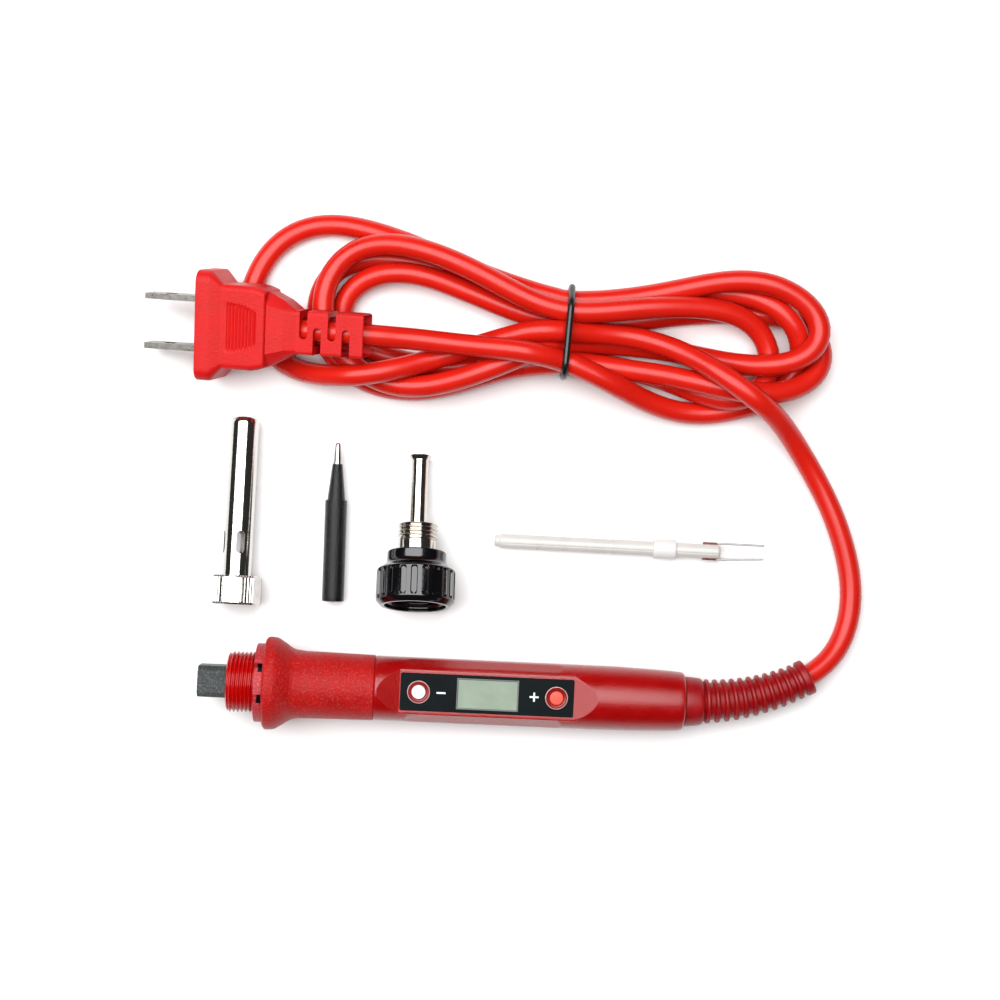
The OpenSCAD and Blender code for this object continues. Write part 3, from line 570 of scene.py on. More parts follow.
def oblong(x0, x1, y0, y1, r, count=6):
    """A rectangle with round corners."""
    out = []
    corners = ((x1 - r, y1 - r, 0), (x0 + r, y1 - r, 90), (x0 + r, y0 + r, 180), (x1 - r, y0 + r, 270))
    for cx, cy, start in corners:
        for k in range(count + 1):
            a = math.radians(start + 90 * k / count)
            out.append((cx + r * math.cos(a), cy + r * math.sin(a)))
    return out


def disc(cx, cy, r, count=48):
    return [(cx + r * math.cos(a), cy + r * math.sin(a)) for a in full_turn(count)]


def carve(piece, cutters, sharp=38):
    """Cuts each cutter out of the piece for good."""
    for tool in cutters:
        step = piece.modifiers.new("cut", "BOOLEAN")
        step.operation, step.solver, step.object = "DIFFERENCE", "EXACT", tool
        cut = bpy.data.meshes.new_from_object(piece.evaluated_get(bpy.context.evaluated_depsgraph_get()))
        piece.modifiers.remove(step)
        piece.data = cut
        bpy.data.objects.remove(tool)
    smoothed(piece.data, sharp)


def ridge(x, turns_from, turns_to, pitch, fade):
    """A thread's height, 0 to 1, fading out over its ends."""
    shape = (0.5 - 0.5 * np.cos(2 * math.pi * x / pitch)) ** 0.85
    return shape * climb(x - turns_from, fade) * climb(turns_to - x, fade)


def screw(cut, height, pitch, fade, crests, advance):
    """What turned() needs for an outer thread. cut(x, r) says where it is cut, crests is where it rises and
    fades, and advance is where its rings lean forward."""
    def wave(x, _, r):
        return np.where(cut(x, r), r + height * ridge(x, *crests, pitch, fade), r)

    def lead(x, r):
        return np.where(cut(x, r), -pitch * climb(x - advance[0], 0.8) * climb(advance[1] - x, 0.8), 0)

    return {"wave": wave, "lead": lead, "sharp": 75}


# ---- the handle ----

BODY_LEN, BODY_R, BODY_END_R = 79.4, 8.2, 7.55
PANEL_X, PANEL_LEN, FLAT_H, RAMP = 6.7, 44.0, 6.1, 5.8
PANEL_END = PANEL_X + PANEL_LEN
GRIP_LEN, FLARE_R = 28.0, 11.85
RING_X, THREAD_X, THREAD_R, PITCH = -30.2, -37.34, 7.75, 1.02
SOCKET_X, SOCKET_W, SOCKET_FLAT = -44.74, 8.0, 2.85
MINUS_X, PLUS_X, WINDOW_X = 11.3, 46.3, 28.8
BEZEL_R, CAP_R = 2.9, 1.75
CAVITY_R = 6.6

flat_x0, flat_x1 = PANEL_X - 0.2, PANEL_END + 0.1
body_skin = [(0, BODY_R - 0.2), (0.3, BODY_R)] + curved([(BODY_LEN - back, r) for back, r in (
    (22, BODY_R), (16, BODY_R - 0.07), (10, BODY_R - 0.25), (5, BODY_R - 0.44), (1.3, BODY_END_R))], 8)
body_skin += [(BODY_LEN - back, BODY_END_R - fall) for back, fall in ((0.5, 0.16), (0.12, 0.5), (0, 1))]
skin = stepped(np.array(body_skin), 0.5, closed=False)
marks = [
    flat_x0 - RAMP, flat_x0, flat_x1, flat_x1 + RAMP, PANEL_X + 1.1, PANEL_X + 2.5,
    PANEL_END - 4, PANEL_END - 2.6]
extra = [[m + off, np.interp(m + off, skin[:, 0], skin[:, 1])] for m in marks for off in (-0.04, 0.04)]
skin = np.array(sorted(skin.tolist() + extra))
skin = np.vstack([[0, 0], [0, BODY_R - 0.6], skin, [BODY_LEN, 3], [BODY_LEN, 0]])
skin_x, skin_r = skin[:, :1], np.maximum(skin[:, 1:], 1e-6)
flat_at = FLAT_H + climb(np.maximum(flat_x0 - skin_x, skin_x - flat_x1), RAMP) * (BODY_R - FLAT_H)
edge = np.arccos(np.clip(flat_at / np.maximum(skin_r, flat_at), 0, 1))
edge = np.maximum(edge, math.radians(0.6))
bead = math.radians(3.6)
LOWER_HALF = 83.6
half = np.hstack([
    edge * np.linspace(0, 1, 14, endpoint=False), edge + bead * np.linspace(0, 1, 8, endpoint=False),
    edge + bead + (math.radians(LOWER_HALF) - edge - bead) * np.linspace(0, 1, 18, endpoint=False),
    np.broadcast_to(np.radians(np.linspace(LOWER_HALF, 180, 40)), (len(skin), 40)),
])
around = np.hstack([half, -half[:, -2:0:-1]])

# The two long facets beside the panel: how far they turn from the top, and their depths
FACET_TURN = math.radians(63.5)
FACET_DEPTHS = (0.2, 0.5)
BEAD_H = 0.11


def body_wave(x, a, r):
    """The panel's flat with a ramp at each end, the two facets, and the raised line round the flat."""
    top = np.cos(np.clip(a, -1.4, 1.4))
    out = np.where((np.abs(a) < 1.4) & (r > 3.2), np.minimum(r, flat_at / top), r)
    depth = np.where(a < 0, *FACET_DEPTHS)
    low = BODY_R - depth + climb(np.maximum(PANEL_X + 2.5 - x, x - PANEL_END + 4), 1.4) * depth
    off = np.abs(np.abs(a) - FACET_TURN)
    out = np.where((off < 0.5) & (r > 3.2), np.minimum(out, low / np.cos(np.clip(off, 0, 0.5))), out)
    along = climb(x - PANEL_X + 0.5, 0.3) * climb(flat_x1 + 1.2 - x, 0.6)
    off = (np.abs(a) - edge - math.radians(1.3)) * BODY_R
    return out + np.where(r > 3.2, BEAD_H * along * np.exp(-(off / 0.2) ** 2), 0)


handle_body = turned("handle_casing", handle, skin, "handle", ["handle_body"], ["body_red", "rim_red"],
                     wave=body_wave, spin=around, sharp=30)
carve(handle_body, [
    prism(handle, disc(0, 0, 6.35), -1, 4.2, 0),
    prism(handle, [(-CAVITY_R * math.sin(t), min(4.6, CAVITY_R * math.cos(t))) for t in full_turn(64)],
          4.1, 62.1, 0),
    prism(handle, disc(0, 0, CAVITY_R), 62, 74, 0),
    prism(handle, disc(0, 0, 4.65), 73.9, 81, 0),
    prism(handle, oblong(PANEL_X - 0.05, PANEL_END + 0.05, -4.8, 4.8, 0.5), 5.2, 10),
    prism(handle, oblong(WINDOW_X - 7.4, WINDOW_X + 7.4, -3.45, 3.45, 0.4), 4, 5.3),
    prism(handle, disc(MINUS_X, 0, CAP_R + 0.1), 4, 5.3),
    prism(handle, disc(PLUS_X, 0, CAP_R + 0.1), 4, 5.3),
], 30)

grip_skin = curved([
    (-GRIP_LEN + 1.2, FLARE_R), (-GRIP_LEN + 3, FLARE_R - 0.25), (-GRIP_LEN + 4.8, FLARE_R - 1.3),
    (-GRIP_LEN + 7, FLARE_R - 2.75), (-GRIP_LEN + 9, BODY_R + 0.5), (-GRIP_LEN + 11, BODY_R + 0.36),
    (-GRIP_LEN + 14, BODY_R + 0.32), (-6, BODY_R + 0.2), (-0.25, BODY_R + 0.12)], 6)
grip_line = eased(
    [(-GRIP_LEN, 6.35, 0), (-GRIP_LEN, FLARE_R - 0.75, 0.4), (-GRIP_LEN + 0.5, FLARE_R - 0.12, 0.5)]
    + [(x, r, 0) for x, r in grip_skin] + [(0, BODY_R - 0.1, 0.05), (0, 6.35, 0)])
turned("grip_casing", handle, stepped(grip_line, 1.0), "handle", ["front_grip"], ["grip_red"], 128)

# Turns of the five slots. Here they are shallow dents, and their floors carry painted shade for the dark inside
# of open slots
VENTS = (-118.0, -27.7, 18.6, 113.0, 177.0)


def from_vent(degrees):
    """How far a turn stands from the nearest slot's middle."""
    return np.min([np.abs((degrees - mid + 180) % 360 - 180) for mid in VENTS], axis=0)


solid_turn = np.arange(-180, 180, 5.0)
vent_turn = np.radians(sorted(
    solid_turn[from_vent(solid_turn) > 7.5].tolist()
    + [mid + off for mid in VENTS for off in (-6.6, -5.9, -5.2, 0, 5.2, 5.9, 6.6)]))


def vent_wave(_, a, r):
    deep = from_vent(np.degrees(a)) < 5.95
    return np.where(deep & (r > 7.95), 7.9 + (r - 7.95) * 0.02, r)


vent_line = stepped(eased([
    (RING_X, 6.35, 0), (RING_X, 10.0, 0.25), (-29.35, 10.0, 0), (-28, 10.0, 0.1), (-28, 6.35, 0)],
    count=3), 0.6)
vent_ring = turned("vented_ring", handle, vent_line, "handle", ["vent_ring"], ["ring_red", "slot_painted_shade"],
                   spin=vent_turn[None, :], wave=vent_wave, sharp=30)
# The dents' floors and walls take the near-black finish: painted shade where the open slots would be dark
# inside
for face in vent_ring.data.polygons:
    spot = handle.own(np.array(face.center) / MM)
    if -29.4 < spot[0] and 7.6 < np.hypot(spot[1], spot[2]) < 9.6:
        if from_vent(math.degrees(math.atan2(-spot[1], spot[2]))) < 6.45:
            face.material_index = 1

root_r = THREAD_R - 0.62
thread_line = stepped(eased([
    (THREAD_X, 5.35, 0.2), (THREAD_X, THREAD_R - 0.9, 0.1), (THREAD_X + 0.25, root_r, 0), (RING_X, root_r, 0),
    (RING_X, 6.3, 0), (4.0, 6.3, 0.1), (4.0, 4.6, 0), (-20.34, 4.6, 0), (-20.34, 5.35, 0)], count=3), 0.085)
# Fine steps only where the thread is cut
keep = [0]
for i in range(1, len(thread_line)):
    plain = thread_line[i, 0] > RING_X + 0.05 or thread_line[i, 1] < THREAD_R - 0.95
    gap = np.linalg.norm(thread_line[i] - thread_line[keep[-1]])
    if not plain or gap > 1.5 or i + 1 == len(thread_line):
        keep.append(i)
turned("threaded_ferrule", handle, thread_line[keep], "handle", ["thread_ferrule"], ["thread_red"], 128,
       **screw(lambda x, r: (np.abs(r - root_r) < 0.3) & (x < RING_X), 0.6, PITCH, 0.35,
               (THREAD_X + 0.1, RING_X + 0.1), (THREAD_X + 0.25, RING_X)))


def octagon_wave(_, a, r):
    flats = np.full(a.shape, 99.0)
    for k in range(8):
        turn = wrapped(a - k * math.pi / 4)
        reach = SOCKET_W / 2 if k % 2 == 0 else (SOCKET_W / 2 + SOCKET_FLAT) / math.sqrt(2)
        flats = np.minimum(flats, np.where(np.abs(turn) < 1.2, reach / np.cos(np.clip(turn, -1.2, 1.2)), 99))
    return np.where(r > 3, flats * r / 10, r)


socket_line = stepped(eased([
    (SOCKET_X, 2.1, 0.2), (SOCKET_X, 10, 0.5), (-21.34, 10, 0.2), (-21.34, 0.02, 0), (SOCKET_X + 14, 0.02, 0),
    (SOCKET_X + 14, 2.1, 0)], count=3), 2.0)
heater_socket = turned("socket_block", handle, socket_line, "handle", ["heater_socket"], ["socket_grey"], 160,
                       wave=octagon_wave, sharp=28)
carve(heater_socket, [
    prism(handle, disc(2.7 * math.cos(math.radians(a)), 2.7 * math.sin(math.radians(a)), 0.65, 20),
          SOCKET_X + 17, -20, 0) for a in (45, 135, 225, 315)], 28)


def upright(x):
    """A frame at a button: its own X runs up out of the panel."""
    return Place(handle.mm((x, 0, 0)) * MM, handle.axes[2], 0, up=handle.axes[0])


for name, x in (("minus_bezel", MINUS_X), ("plus_bezel", PLUS_X)):
    line = eased([
        (5.2, CAP_R + 0.15, 0), (5.2, BEZEL_R, 0), (6.22, BEZEL_R, 0.1), (6.22, BEZEL_R - 0.22, 0.1),
        (5.95, CAP_R + 0.6, 0.12), (5.8, CAP_R + 0.15, 0.1)], count=4)
    # The outer top lip takes the pale finish, a painted highlight along the red rim's edge
    turned(name.replace("bezel", "surround"), upright(x), line, "handle", [name],
           ["bezel_red", "bezel_lip_painted_highlight"], 72,
           band=lambda u, r: 1 if r > BEZEL_R - 0.2 and u > 6.12 else 0, sharp=40)
for name, x, paint in (("minus_button", MINUS_X, "cap_white"), ("plus_button", PLUS_X, "cap_orange")):
    line = eased([
        (3.8, 0.0, 0), (3.8, CAP_R + 0.55, 0.1), (4.5, CAP_R + 0.55, 0.1), (4.5, CAP_R, 0.05),
        (6.4, CAP_R, 0.22), (6.45, 0.0, 0)], count=5, closed=False)
    turned(name.replace("button", "cap"), upright(x), line, name, [name], [paint], 64, sharp=40)

# The display window's thin rim, which falls inward to the glass
WINDOW_LEN, WINDOW_W = 15.8, 8.0
rings = []
for grow, z in ((-0.06, 5.7), (-0.06, 6.03), (-0.16, 6.06), (-0.3, 6.0), (-0.42, 5.78)):
    half_l, half_w = WINDOW_LEN / 2 + grow, WINDOW_W / 2 + grow
    rings.append(handle.mm([(x, y, z) for x, y in oblong(
        WINDOW_X - half_l, WINDOW_X + half_l, -half_w, half_w, 0.5 + grow, 5)]))
window_rim = shell("window_rim", np.array(rings), "handle", [], ["lcd_edge"], sharp=25)

# The strain relief: a smooth ring, then ribs that shrink towards its end
RIBS = 12
rib_pitch = (RELIEF_LEN - 2.4) / (RIBS - 1)
RELIEF_BORE = 2.98
relief_line = [((x, y, 0), r) for x, y, r in (
    (72, 0, RELIEF_BORE), (72, 0, 6.2), (73.9, 0, 6.2), (73.95, 0, 4.6), (79.35, 0, 4.6), (79.45, 0, 6.25),
    (79.55, 0, 6.38), (79.9, 0, 6.4), (81.6, 0.05, 6.25), (83.0, 0.1, 6.08), (83.6, 0.13, 5.98),
    (84.0, 0.16, 5.8))] + [(relief_point(0), 5.3), (relief_point(0.15), 4.86)]
for i in range(RIBS - 1):
    u, r = 0.4 + i * rib_pitch, 5.7 - 1.15 * i / (RIBS - 1)
    for off, fall in ((0, 0.9), (0.12, 0.5), (0.26, 0.16), (0.45, 0.02), (0.7, 0), (0.95, 0.02), (1.14, 0.16),
                      (1.28, 0.5), (1.4, 0.9)):
        relief_line.append((relief_point(u + off), r - fall))
for off, r in ((2.2, 3.8), (2.12, 4.4), (1.95, 4.66), (1.7, 4.72), (0.45, 4.7), (0.15, 4.58), (0, 4.3),
               (0, RELIEF_BORE)):
    relief_line.append((relief_point(RELIEF_LEN - off), r))
for off in np.arange(2, RELIEF_LEN, 2.5):
    relief_line.append((relief_point(RELIEF_LEN - off), RELIEF_BORE))


def round_path(place, line, sides):
    """Rings square to a path that bends in the piece's own XY plane."""
    mids = np.array([q[0] for q in line], float)
    a = full_turn(sides)
    rings = []
    for mid, (_, r) in zip(mids, line):
        if mid[0] > RELIEF_X:
            lean = math.asin(math.sin(RELIEF_TURN) + (mid[0] - RELIEF_X) / RELIEF_R)
        else:
            lean = RELIEF_TURN * max(0, (mid[0] - 79.6) / 4.8)
        side = np.array([-math.sin(lean), math.cos(lean), 0])
        rings.append(mid + r * (np.cos(a)[:, None] * side + np.sin(a)[:, None] * np.array([0, 0, 1])))
    return place.mm(np.array(rings))


shell("ribbed_relief", round_path(handle, relief_line, 72), "handle", ["strain_relief"], ["relief_red"],
      sharp=50)
root_line = eased([(69, 0.02, 0), (69, CORD_R, 0.2), (84.3, CORD_R, 0), (84.3, 0.02, 0)])
cord_root = turned("cord_root", handle, root_line, "handle", [], ["cord_red"], 48)

# ---- the sleeve and the tip ----

SLEEVE_LEN, SLEEVE_R, NUT_R, NUT_LEN, FLUTE_R = 48.55, 3.75, 6.6, 7.4, 0.27
sleeve_end = curved([(SLEEVE_LEN - back, SLEEVE_R - fall) for back, fall in (
    (2, 0), (1.4, 0.05), (0.8, 0.24), (0.34, 0.56), (0.06, 0.95), (0, 1.28))], 4)
sleeve_line = stepped(eased(
    [(5, 3.35, 0), (5, 4.9, 0.1), (5.6, 4.9, 0.1), (5.6, SLEEVE_R, 0)] + [(x, r, 0) for x, r in sleeve_end]
    + [(SLEEVE_LEN - 0.5, 2.42, 0.2), (SLEEVE_LEN - 2, 2.6, 0), (SLEEVE_LEN - 2.4, 3.35, 0)]), 2.5)
sleeve_tube = turned("sleeve_pipe", sleeve, sleeve_line, "sleeve", ["sleeve_tube"], ["nickel", "sleeve_inside"],
                     128, band=lambda x, r: 1 if r < 3.45 and x < SLEEVE_LEN - 0.6 else 0, sharp=40)
slots = []
for a in (16, 106, 196, 286):
    spun = Place(sleeve.at * MM, sleeve.axes[0], 0, up=sleeve.axes[2], roll=a)
    slots.append(prism(spun, oblong(13.1, 18.9, -1.1, 1.1, 1.09, 8), 2, 6))
carve(sleeve_tube, slots, 40)


def nut_wave(_, a, r):
    """Five flats, and five fine flutes between each two of them."""
    out = r
    for k in range(5):
        off = wrapped(a - math.radians(k * 72 - 2))
        flat = (NUT_R - 0.35) / np.cos(np.clip(off, -0.6, 0.6))
        out = np.where((np.abs(off) < 0.6) & (r > 5.6), np.minimum(out, flat), out)
        for flute in (20, 27, 34, 41, 48):
            off = wrapped(a - math.radians(k * 72 + flute))
            dent = np.sqrt(np.clip(FLUTE_R ** 2 - (off * NUT_R) ** 2, 0, None))
            out = np.where(r > 5.9, out - dent, out)
    return out


nut_line = stepped(eased([
    (0, 5.3, 0.1), (0, NUT_R - 0.5, 0.1), (0.5, NUT_R, 0.12), (NUT_LEN - 0.5, NUT_R, 0.12),
    (NUT_LEN, NUT_R - 0.5, 0.1), (NUT_LEN, 3.85, 0.1), (5.7, 3.85, 0), (5.7, 5.05, 0),
    (4.9, 5.05, 0), (4.9, 5.3, 0)], count=4), 0.9)
turned("sleeve_cap_nut", sleeve, nut_line, "sleeve_nut", ["sleeve_nut"], ["nut_nickel"], 360,
       wave=nut_wave, sharp=28)

TIP_LEN, SHANK_R = 41.3, 2.85
tip_line = stepped(eased([
    (0, 2.1, 0.08), (0, SHANK_R, 0.2), (26.3, SHANK_R, 0.18), (26.3, 2.32, 0), (TIP_LEN - 5.62, 1.3, 0.04),
    (TIP_LEN - 5.6, 1.15, 0), (TIP_LEN - 0.8, 0.8, 0.4), (TIP_LEN - 0.2, 0.62, 0.3), (TIP_LEN, 0.02, 0),
    (25, 0.02, 0), (25, 2.1, 0)], count=5), 1.5)
turned("soldering_tip", tip, tip_line, "tip", ["iron_tip"], ["tip_black", "tip_tin"], 96,
       band=lambda x, r: 1 if x > TIP_LEN - 5.61 else 0, sharp=35)

# ---- the collar ----

COLLAR_LEN, PIPE_R, COLLAR_R = 39.6, 2.25, 10.05
FLANGE_X, BARREL_END, SKIRT_LEN, NECK_X, COLLAR_NUT_LEN, GROOVES = 8.9, 21.3, 9.4, 10.9, 14.05, 22
COLLAR_PITCH = 1.03
barrel_line = stepped(eased([
    (FLANGE_X, 2.28, 0), (FLANGE_X, 7.2, 0.15), (FLANGE_X + 1.5, 7.2, 0.15), (FLANGE_X + 1.5, 4.85, 0),
    (16.9, 4.85, 0.02), (17.0, 4.65, 0), (BARREL_END - 0.2, 4.65, 0.05), (BARREL_END, 4.4, 0.1),
    (BARREL_END, 2.28, 0.05)], count=3), 0.09)
turned("threaded_barrel", collar, barrel_line, "collar", ["collar_barrel"], ["pipe_nickel"], 128,
       **screw(lambda x, r: (x > 16.95) & (r > 4.55), 0.55, COLLAR_PITCH, 0.3,
               (17.0, BARREL_END + 0.1), (17.05, BARREL_END - 0.25)))
pipe_line = stepped(eased([
    (FLANGE_X, 1.95, 0), (FLANGE_X, PIPE_R, 0), (COLLAR_LEN - 1.2, PIPE_R, 0.8), (COLLAR_LEN - 0.45, 2.75, 0.3),
    (COLLAR_LEN - 0.1, 3.05, 0.15), (COLLAR_LEN, 2.9, 0.1), (COLLAR_LEN - 0.8, 1.95, 0.5)], count=5), 1.5)
turned("flared_pipe", collar, pipe_line, "collar", ["collar_pipe"], ["pipe_nickel"], 96, sharp=45)


def collar_wave(x, a, r):
    """Long round-ended grooves down the skirt, and the thread inside it."""
    span = 2 * math.pi / GROOVES
    across = ((a + span / 2) % span - span / 2) * COLLAR_R
    beyond = np.maximum(np.maximum(2.45 - x, x - 8.15), 0)
    dent = climb(0.87 - np.sqrt(across ** 2 + beyond ** 2), 0.16)
    grooved = r - 0.5 * dent * dent * (3 - 2 * dent) * climb(r - 8.9, 0.6)
    thread = 0.32 * ridge(x, 0.8, FLANGE_X - 0.6, COLLAR_PITCH, 0.4)
    return np.where(r > 8.2, grooved, np.where((np.abs(r - 7.9) < 0.03) & (x < FLANGE_X), r - thread, r))


collar_line = stepped(eased([
    (0, 7.9, 0.2), (0, COLLAR_R - 1.25, 0.15), (0.35, COLLAR_R - 0.8, 0.3), (1.2, COLLAR_R, 0.5),
    (SKIRT_LEN - 0.15, COLLAR_R, 0.5), (NECK_X, 7.62, 1.8), (COLLAR_NUT_LEN, 7.6, 0.4),
    (COLLAR_NUT_LEN, 5.35, 0.15), (10.55, 5.35, 0), (10.55, 7.5, 0),
    (FLANGE_X - 0.1, 7.5, 0), (FLANGE_X - 0.1, 7.9, 0)], count=5), 0.2)
groove_turn = np.array([0.2, 0.5, 0.64, 0.7, 0.76, 0.82, 0.88, 0.98, 1.2]) / COLLAR_R
groove_turn = np.concatenate([-groove_turn[::-1], groove_turn])
groove_turn = (np.arange(GROOVES)[:, None] * 2 * math.pi / GROOVES + groove_turn[None, :]).ravel()
turned("ribbed_nut", collar, collar_line, "collar_nut", ["collar_nut"], ["nut_black"],
       spin=groove_turn[None, :], wave=collar_wave, sharp=45)

# ---- the heater ----


def seam_wave(x, a, r):
    """The shallow groove along the rod where its rolled sheet meets."""
    off = wrapped(a - math.radians(20))
    groove = np.exp(-(off * HEATER_R / 0.12) ** 2)
    return np.where((r > 1.8) & (x > 1.6), r - 0.09 * groove, r)


rod_line = stepped(eased([
    (0, 0.02, 0), (0, 1.25, 0.05), (0.3, 1.5, 0.1), (1.3, 1.55, 0.05), (1.55, HEATER_R, 0.1),
    (HEATER_LEN - 0.6, HEATER_R, 0.2), (HEATER_LEN, HEATER_R - 0.5, 0.1), (HEATER_LEN, 0.02, 0)],
    count=3, closed=False), 1.5, closed=False)
turned("ceramic_rod", heater, rod_line, "heater", ["heater_rod"], ["ceramic"], 120, wave=seam_wave, sharp=40)
band_line = stepped(eased([
    (41.4, HEATER_R + 0.01, 0), (41.4, 2.28, 0.1), (41.75, 2.5, 0.2), (46.95, 2.5, 0.2), (47.3, 2.28, 0.1),
    (47.3, HEATER_R + 0.01, 0)], count=4), 1.0)
turned("ceramic_band", heater, band_line, "heater", ["heater_band"], ["band_white"], 96, sharp=45)

# ---- the plug ----

def box_ring(x, w, t, cut_y, cut_z, bow, per_side=46, per_corner=7):
    """A rectangle across the plug at x. Each corner is cut by this much of the width and of the thickness, and
    bow takes the cut from flat, 0, to round, 1."""
    out = []
    for k, (sy, sz) in enumerate(((1, 1), (-1, 1), (-1, -1), (1, -1))):
        for j in range(per_corner):
            s = j / (per_corner - 1)
            a = math.radians(90 * s)
            far, near = bow * math.cos(a) + (1 - bow) * (1 - s), bow * math.sin(a) + (1 - bow) * s
            if k % 2:
                far, near = near, far
            out.append((x, sy * (w / 2 - cut_y + cut_y * far), sz * (t / 2 - cut_z + cut_z * near)))
        ny, nz = ((-(w / 2 - cut_y), t / 2), (-w / 2, -(t / 2 - cut_z)), (w / 2 - cut_y, -t / 2),
                  (w / 2, t / 2 - cut_z))[k]
        y0, z0 = out[-1][1], out[-1][2]
        for j in range(1, per_side):
            out.append((x, y0 + (ny - y0) * j / per_side, z0 + (nz - z0) * j / per_side))
    return out


# x, width, thickness, the corners' cuts in width and thickness, and their bow
plug_stations = [
    (0, 27.3, 15.3, 2.7, 2.7, 1), (0.1, 27.7, 15.7, 2.8, 2.8, 1), (0.35, 28, 16, 2.9, 2.9, 1),
    (3.5, 28, 16, 2.9, 2.9, 1), (3.9, 27.6, 15.8, 2.8, 2.8, 1), (6.4, 21.9, 13.25, 1.6, 1.6, 1),
    (6.75, 21.5, 13, 1.5, 1.5, 1), (14.3, 21.5, 13, 1.5, 1.5, 1), (16.2, 20.7, 12.95, 1.5, 1.5, 1),
    (17.75, 19.6, 12.9, 1.5, 1.5, 1), (18, 19.3, 12.5, 1.6, 1.5, 1), (18.1, 18.9, 11.5, 3.2, 2.5, 0.15),
    (22.5, 14.7, 11.1, 2.3, 2, 0.15), (22.7, 14.4, 11, 2.3, 2, 0.2), (25.5, 10.8, 8.8, 0.9, 0.9, 1),
    (25.8, 11.1, 8.6, 0.8, 0.8, 1), (42.6, 11.1, 8.4, 0.8, 0.8, 1), (43, 10.9, 8.2, 0.8, 0.8, 1),
    (43.2, 10.5, 7.8, 0.7, 0.7, 1),
]
stations = np.array(plug_stations, float)
plug_x = sorted(set(
    stations[:, 0].tolist() + np.arange(6.9, 17.4, 0.15).round(3).tolist() + np.arange(27, 42, 1.0).tolist()))
rings = np.array([
    box_ring(x, *[np.interp(x, stations[:, 0], column) for column in stations.T[1:]]) for x in plug_x])
rings[..., 1] -= 0.3 * climb(rings[..., 0] - 22, 4)
# The recessed pad of fine ridges on the top and underside, narrower towards the cord
px, py, pz = rings[..., 0], rings[..., 1], rings[..., 2]
pad_half = 6.15 - 1.8 * (np.clip(px - 8.5, 0, None) / 7) ** 2
inside = climb(np.minimum(px - 7.6, 15.8 - px), 0.3) * climb(pad_half - np.abs(py), 0.4)
ridges = 0.5 + 0.5 * np.cos(2 * math.pi * (px - 7.9) / 0.9)
rings[..., 2] = pz - np.sign(pz) * np.where(np.abs(pz) > 5.9, inside * (0.45 - 0.36 * ridges), 0)
ends = [np.repeat(rings[i:i + 1].mean(1, keepdims=True), rings.shape[1], 1) for i in (0, -1)]
plug_body = shell("plug_moulding", plug.mm(np.concatenate([ends[0], rings, ends[1]])), "handle", ["plug_body"],
                  ["plug_red"], sharp=30)
slot_cuts = []
for x, side in ((27.6, 1), (35, 1), (31.2, -1), (38.7, -1)):
    y0, y1 = (-1.9, 8) if side > 0 else (-8, 1.1)
    slot_cuts.append(prism(plug, oblong(x - 1.05, x + 1.05, y0, y1, 1.0, 7), -10, 10))
carve(plug_body, [
    prism(plug, disc(0, 0, CORD_R + 0.05), 24.5, 45, 0),
    prism(plug, oblong(-9.52, 9.52, -4.02, 4.02, 1.0, 2), 2, 6, 0),
    prism(plug, oblong(-7.12, -5.58, -3.2, 3.2, 0.05, 1), -1, 9.1, 0),
    prism(plug, oblong(5.58, 7.12, -3.2, 3.2, 0.05, 1), -1, 9.1, 0),
    prism(plug, disc(1.3, 0, 0.95, 20), 9, 24.6, 0),
    prism(plug, disc(-1.3, 0, 0.95, 20), 9, 24.6, 0),
] + slot_cuts, 30)

# ---- the tie: a band round the strands where they cross its plane ----

ahead = (cord_path[:, :2] - tie_mid) @ tie_along
crossings = []
for i in range(len(ahead) - 1):
    if ahead[i] * ahead[i + 1] <= 0 and abs((cord_path[i, :2] - tie_mid) @ tie_side) < 14:
        t = ahead[i] / (ahead[i] - ahead[i + 1])
        here = cord_path[i] + (cord_path[i + 1] - cord_path[i]) * t
        crossings.append(((here[:2] - tie_mid) @ tie_side, here[2]))
spots = [spot for v, z in crossings for spot in disc(v, z, CORD_R + TIE_R + 0.02, 40)]
spots = sorted(set((round(v, 4), round(z, 4)) for v, z in spots))


def half_hull(points):
    """One side of the outline that holds all the points."""
    out = []
    for p in points:
        while len(out) > 1 and ((out[-1][0] - out[-2][0]) * (p[1] - out[-2][1])
                                - (out[-1][1] - out[-2][1]) * (p[0] - out[-2][0])) <= 0:
            out.pop()
        out.append(p)
    return out[:-1]


hull = np.array(half_hull(spots) + half_hull(spots[::-1]))
loop = stepped(hull, 0.8)
for _ in range(3):
    loop = (np.roll(loop, 1, 0) + 2 * loop + np.roll(loop, -1, 0)) / 4
ring_out = loop - np.roll(loop, 1, 0) + np.roll(loop, -1, 0) - loop
ring_out = np.stack([ring_out[:, 1], -ring_out[:, 0]], 1)
ring_out /= np.linalg.norm(ring_out, axis=1)[:, None]
turns = full_turn(20)
rings = []
for (v, z), (nv, nz) in zip(loop, ring_out):
    wide, tall = TIE_R * np.cos(turns), TIE_R * np.sin(turns)
    rings.append(np.stack([
        tie_mid[0] + tie_side[0] * (v + nv * tall) + tie_along[0] * wide,
        tie_mid[1] + tie_side[1] * (v + nv * tall) + tie_along[1] * wide, z + nz * tall], 1))
cord_tie = shell("black_tie", np.array(rings), "handle", ["cord_tie"], ["tie_black"], sharp=60)

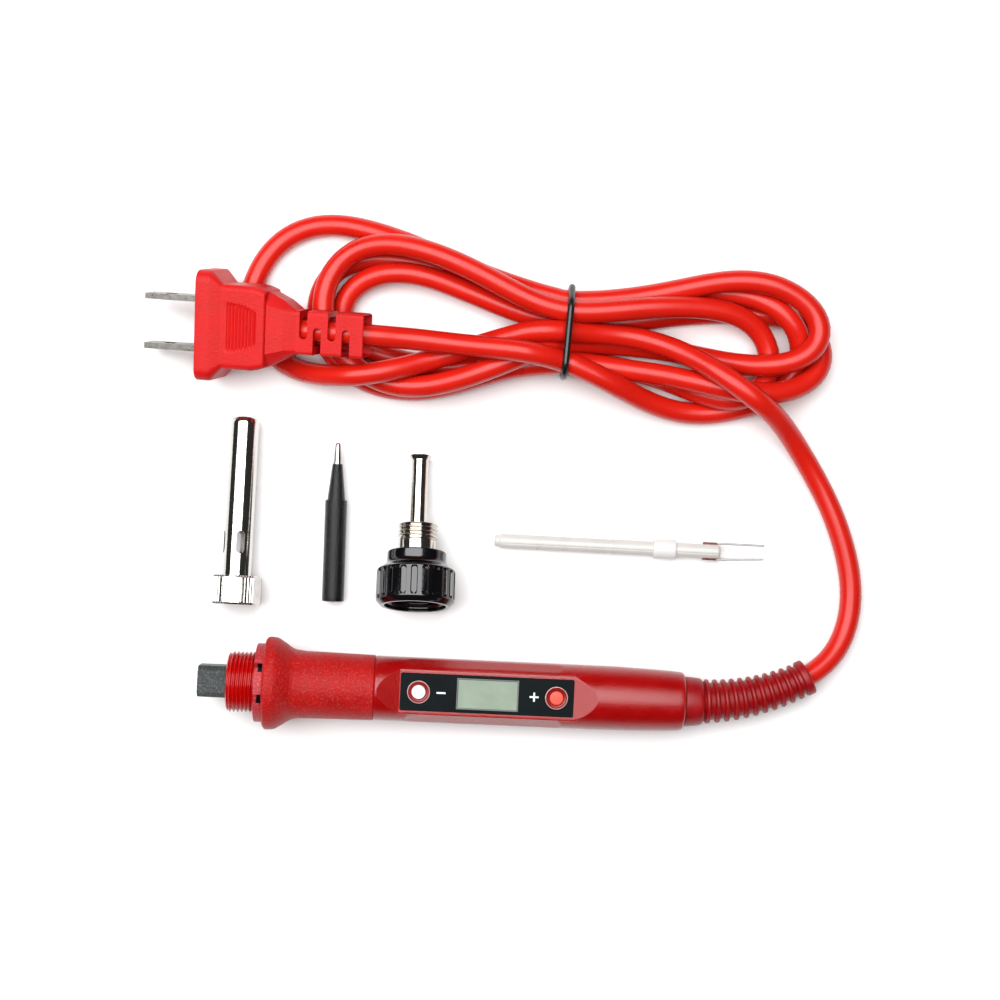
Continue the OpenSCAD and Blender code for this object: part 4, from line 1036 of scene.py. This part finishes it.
# ---- finishes of the CAD pieces that stay ----

for node, paint in {
    "display_panel": "panel_dark", "lcd_window": "lcd_green", "lcd_module": "glass_grey",
    "panel_marks": "mark_white", "socket_contacts": "brass", "tact_switches": "chip_black",
    "circuit_board": "board_green", "triac": "chip_black", "film_capacitor": "film_yellow",
    "controller_chip": "chip_black", "heater_wires": "wire_white", "supply_wires": "wire_black",
    "cord_clamp": "chip_black", "clamp_screws": "screw_steel", "heater_pads": "braze",
    "heater_leads": "lead_grey", "plug_blades": "blade_nickel", "plug_bridge": "bridge_cream",
    "plug_wires": "wire_black",
}.items():
    piece = frame["nodes"][node]
    for place in piece.material_slots:
        place.material = paints[paint]

tuple(handle.mm(relief_point(RELIEF_LEN)) * MM)

# ---- the bench and the light ----

BENCH, BENCH_DROP = 0.6, -0.0001
bench_mesh = bpy.data.meshes.new("bench")
bench_mesh.from_pydata(
    [(x * BENCH, y * BENCH, BENCH_DROP) for x, y in ((-1, -1), (1, -1), (1, 1), (-1, 1))], [], [(0, 1, 2, 3)])
bench_mesh.materials.append(
    finish("bench_white", (0.93, 0.93, 0.93), 0.7, 0.05, 2, 0.002, patch=60, shade=0.01))
floor = added("bench", bench_mesh)

# A dim room, pale where the camera looks past the bench, and one wide soft box overhead
ROOM_LEVEL = 0.04
world = bpy.data.worlds.new("studio")
world.use_nodes = True
sky = world.node_tree.nodes["Background"]
sky.inputs["Color"].default_value = (1, 1, 1, 1)
seen = node_of(world.node_tree, "ShaderNodeLightPath").outputs["Is Camera Ray"]
world.node_tree.links.new(ranged(world.node_tree, seen, 0, 1, ROOM_LEVEL, 1), sky.inputs["Strength"])
bpy.context.scene.world = world
bpy.context.scene.view_settings.view_transform = "Standard"

soft_box = bpy.data.lights.new("soft_box", "AREA")
soft_box.shape = "RECTANGLE"
soft_box.size, soft_box.size_y = 1.18, 0.78
soft_box.energy = 17
lamp = added("soft_box", soft_box)
lamp.location = (cad_mid[0] - 0.24, cad_mid[1] + 0.2, 0.8)

bpy.context.view_layer.update()
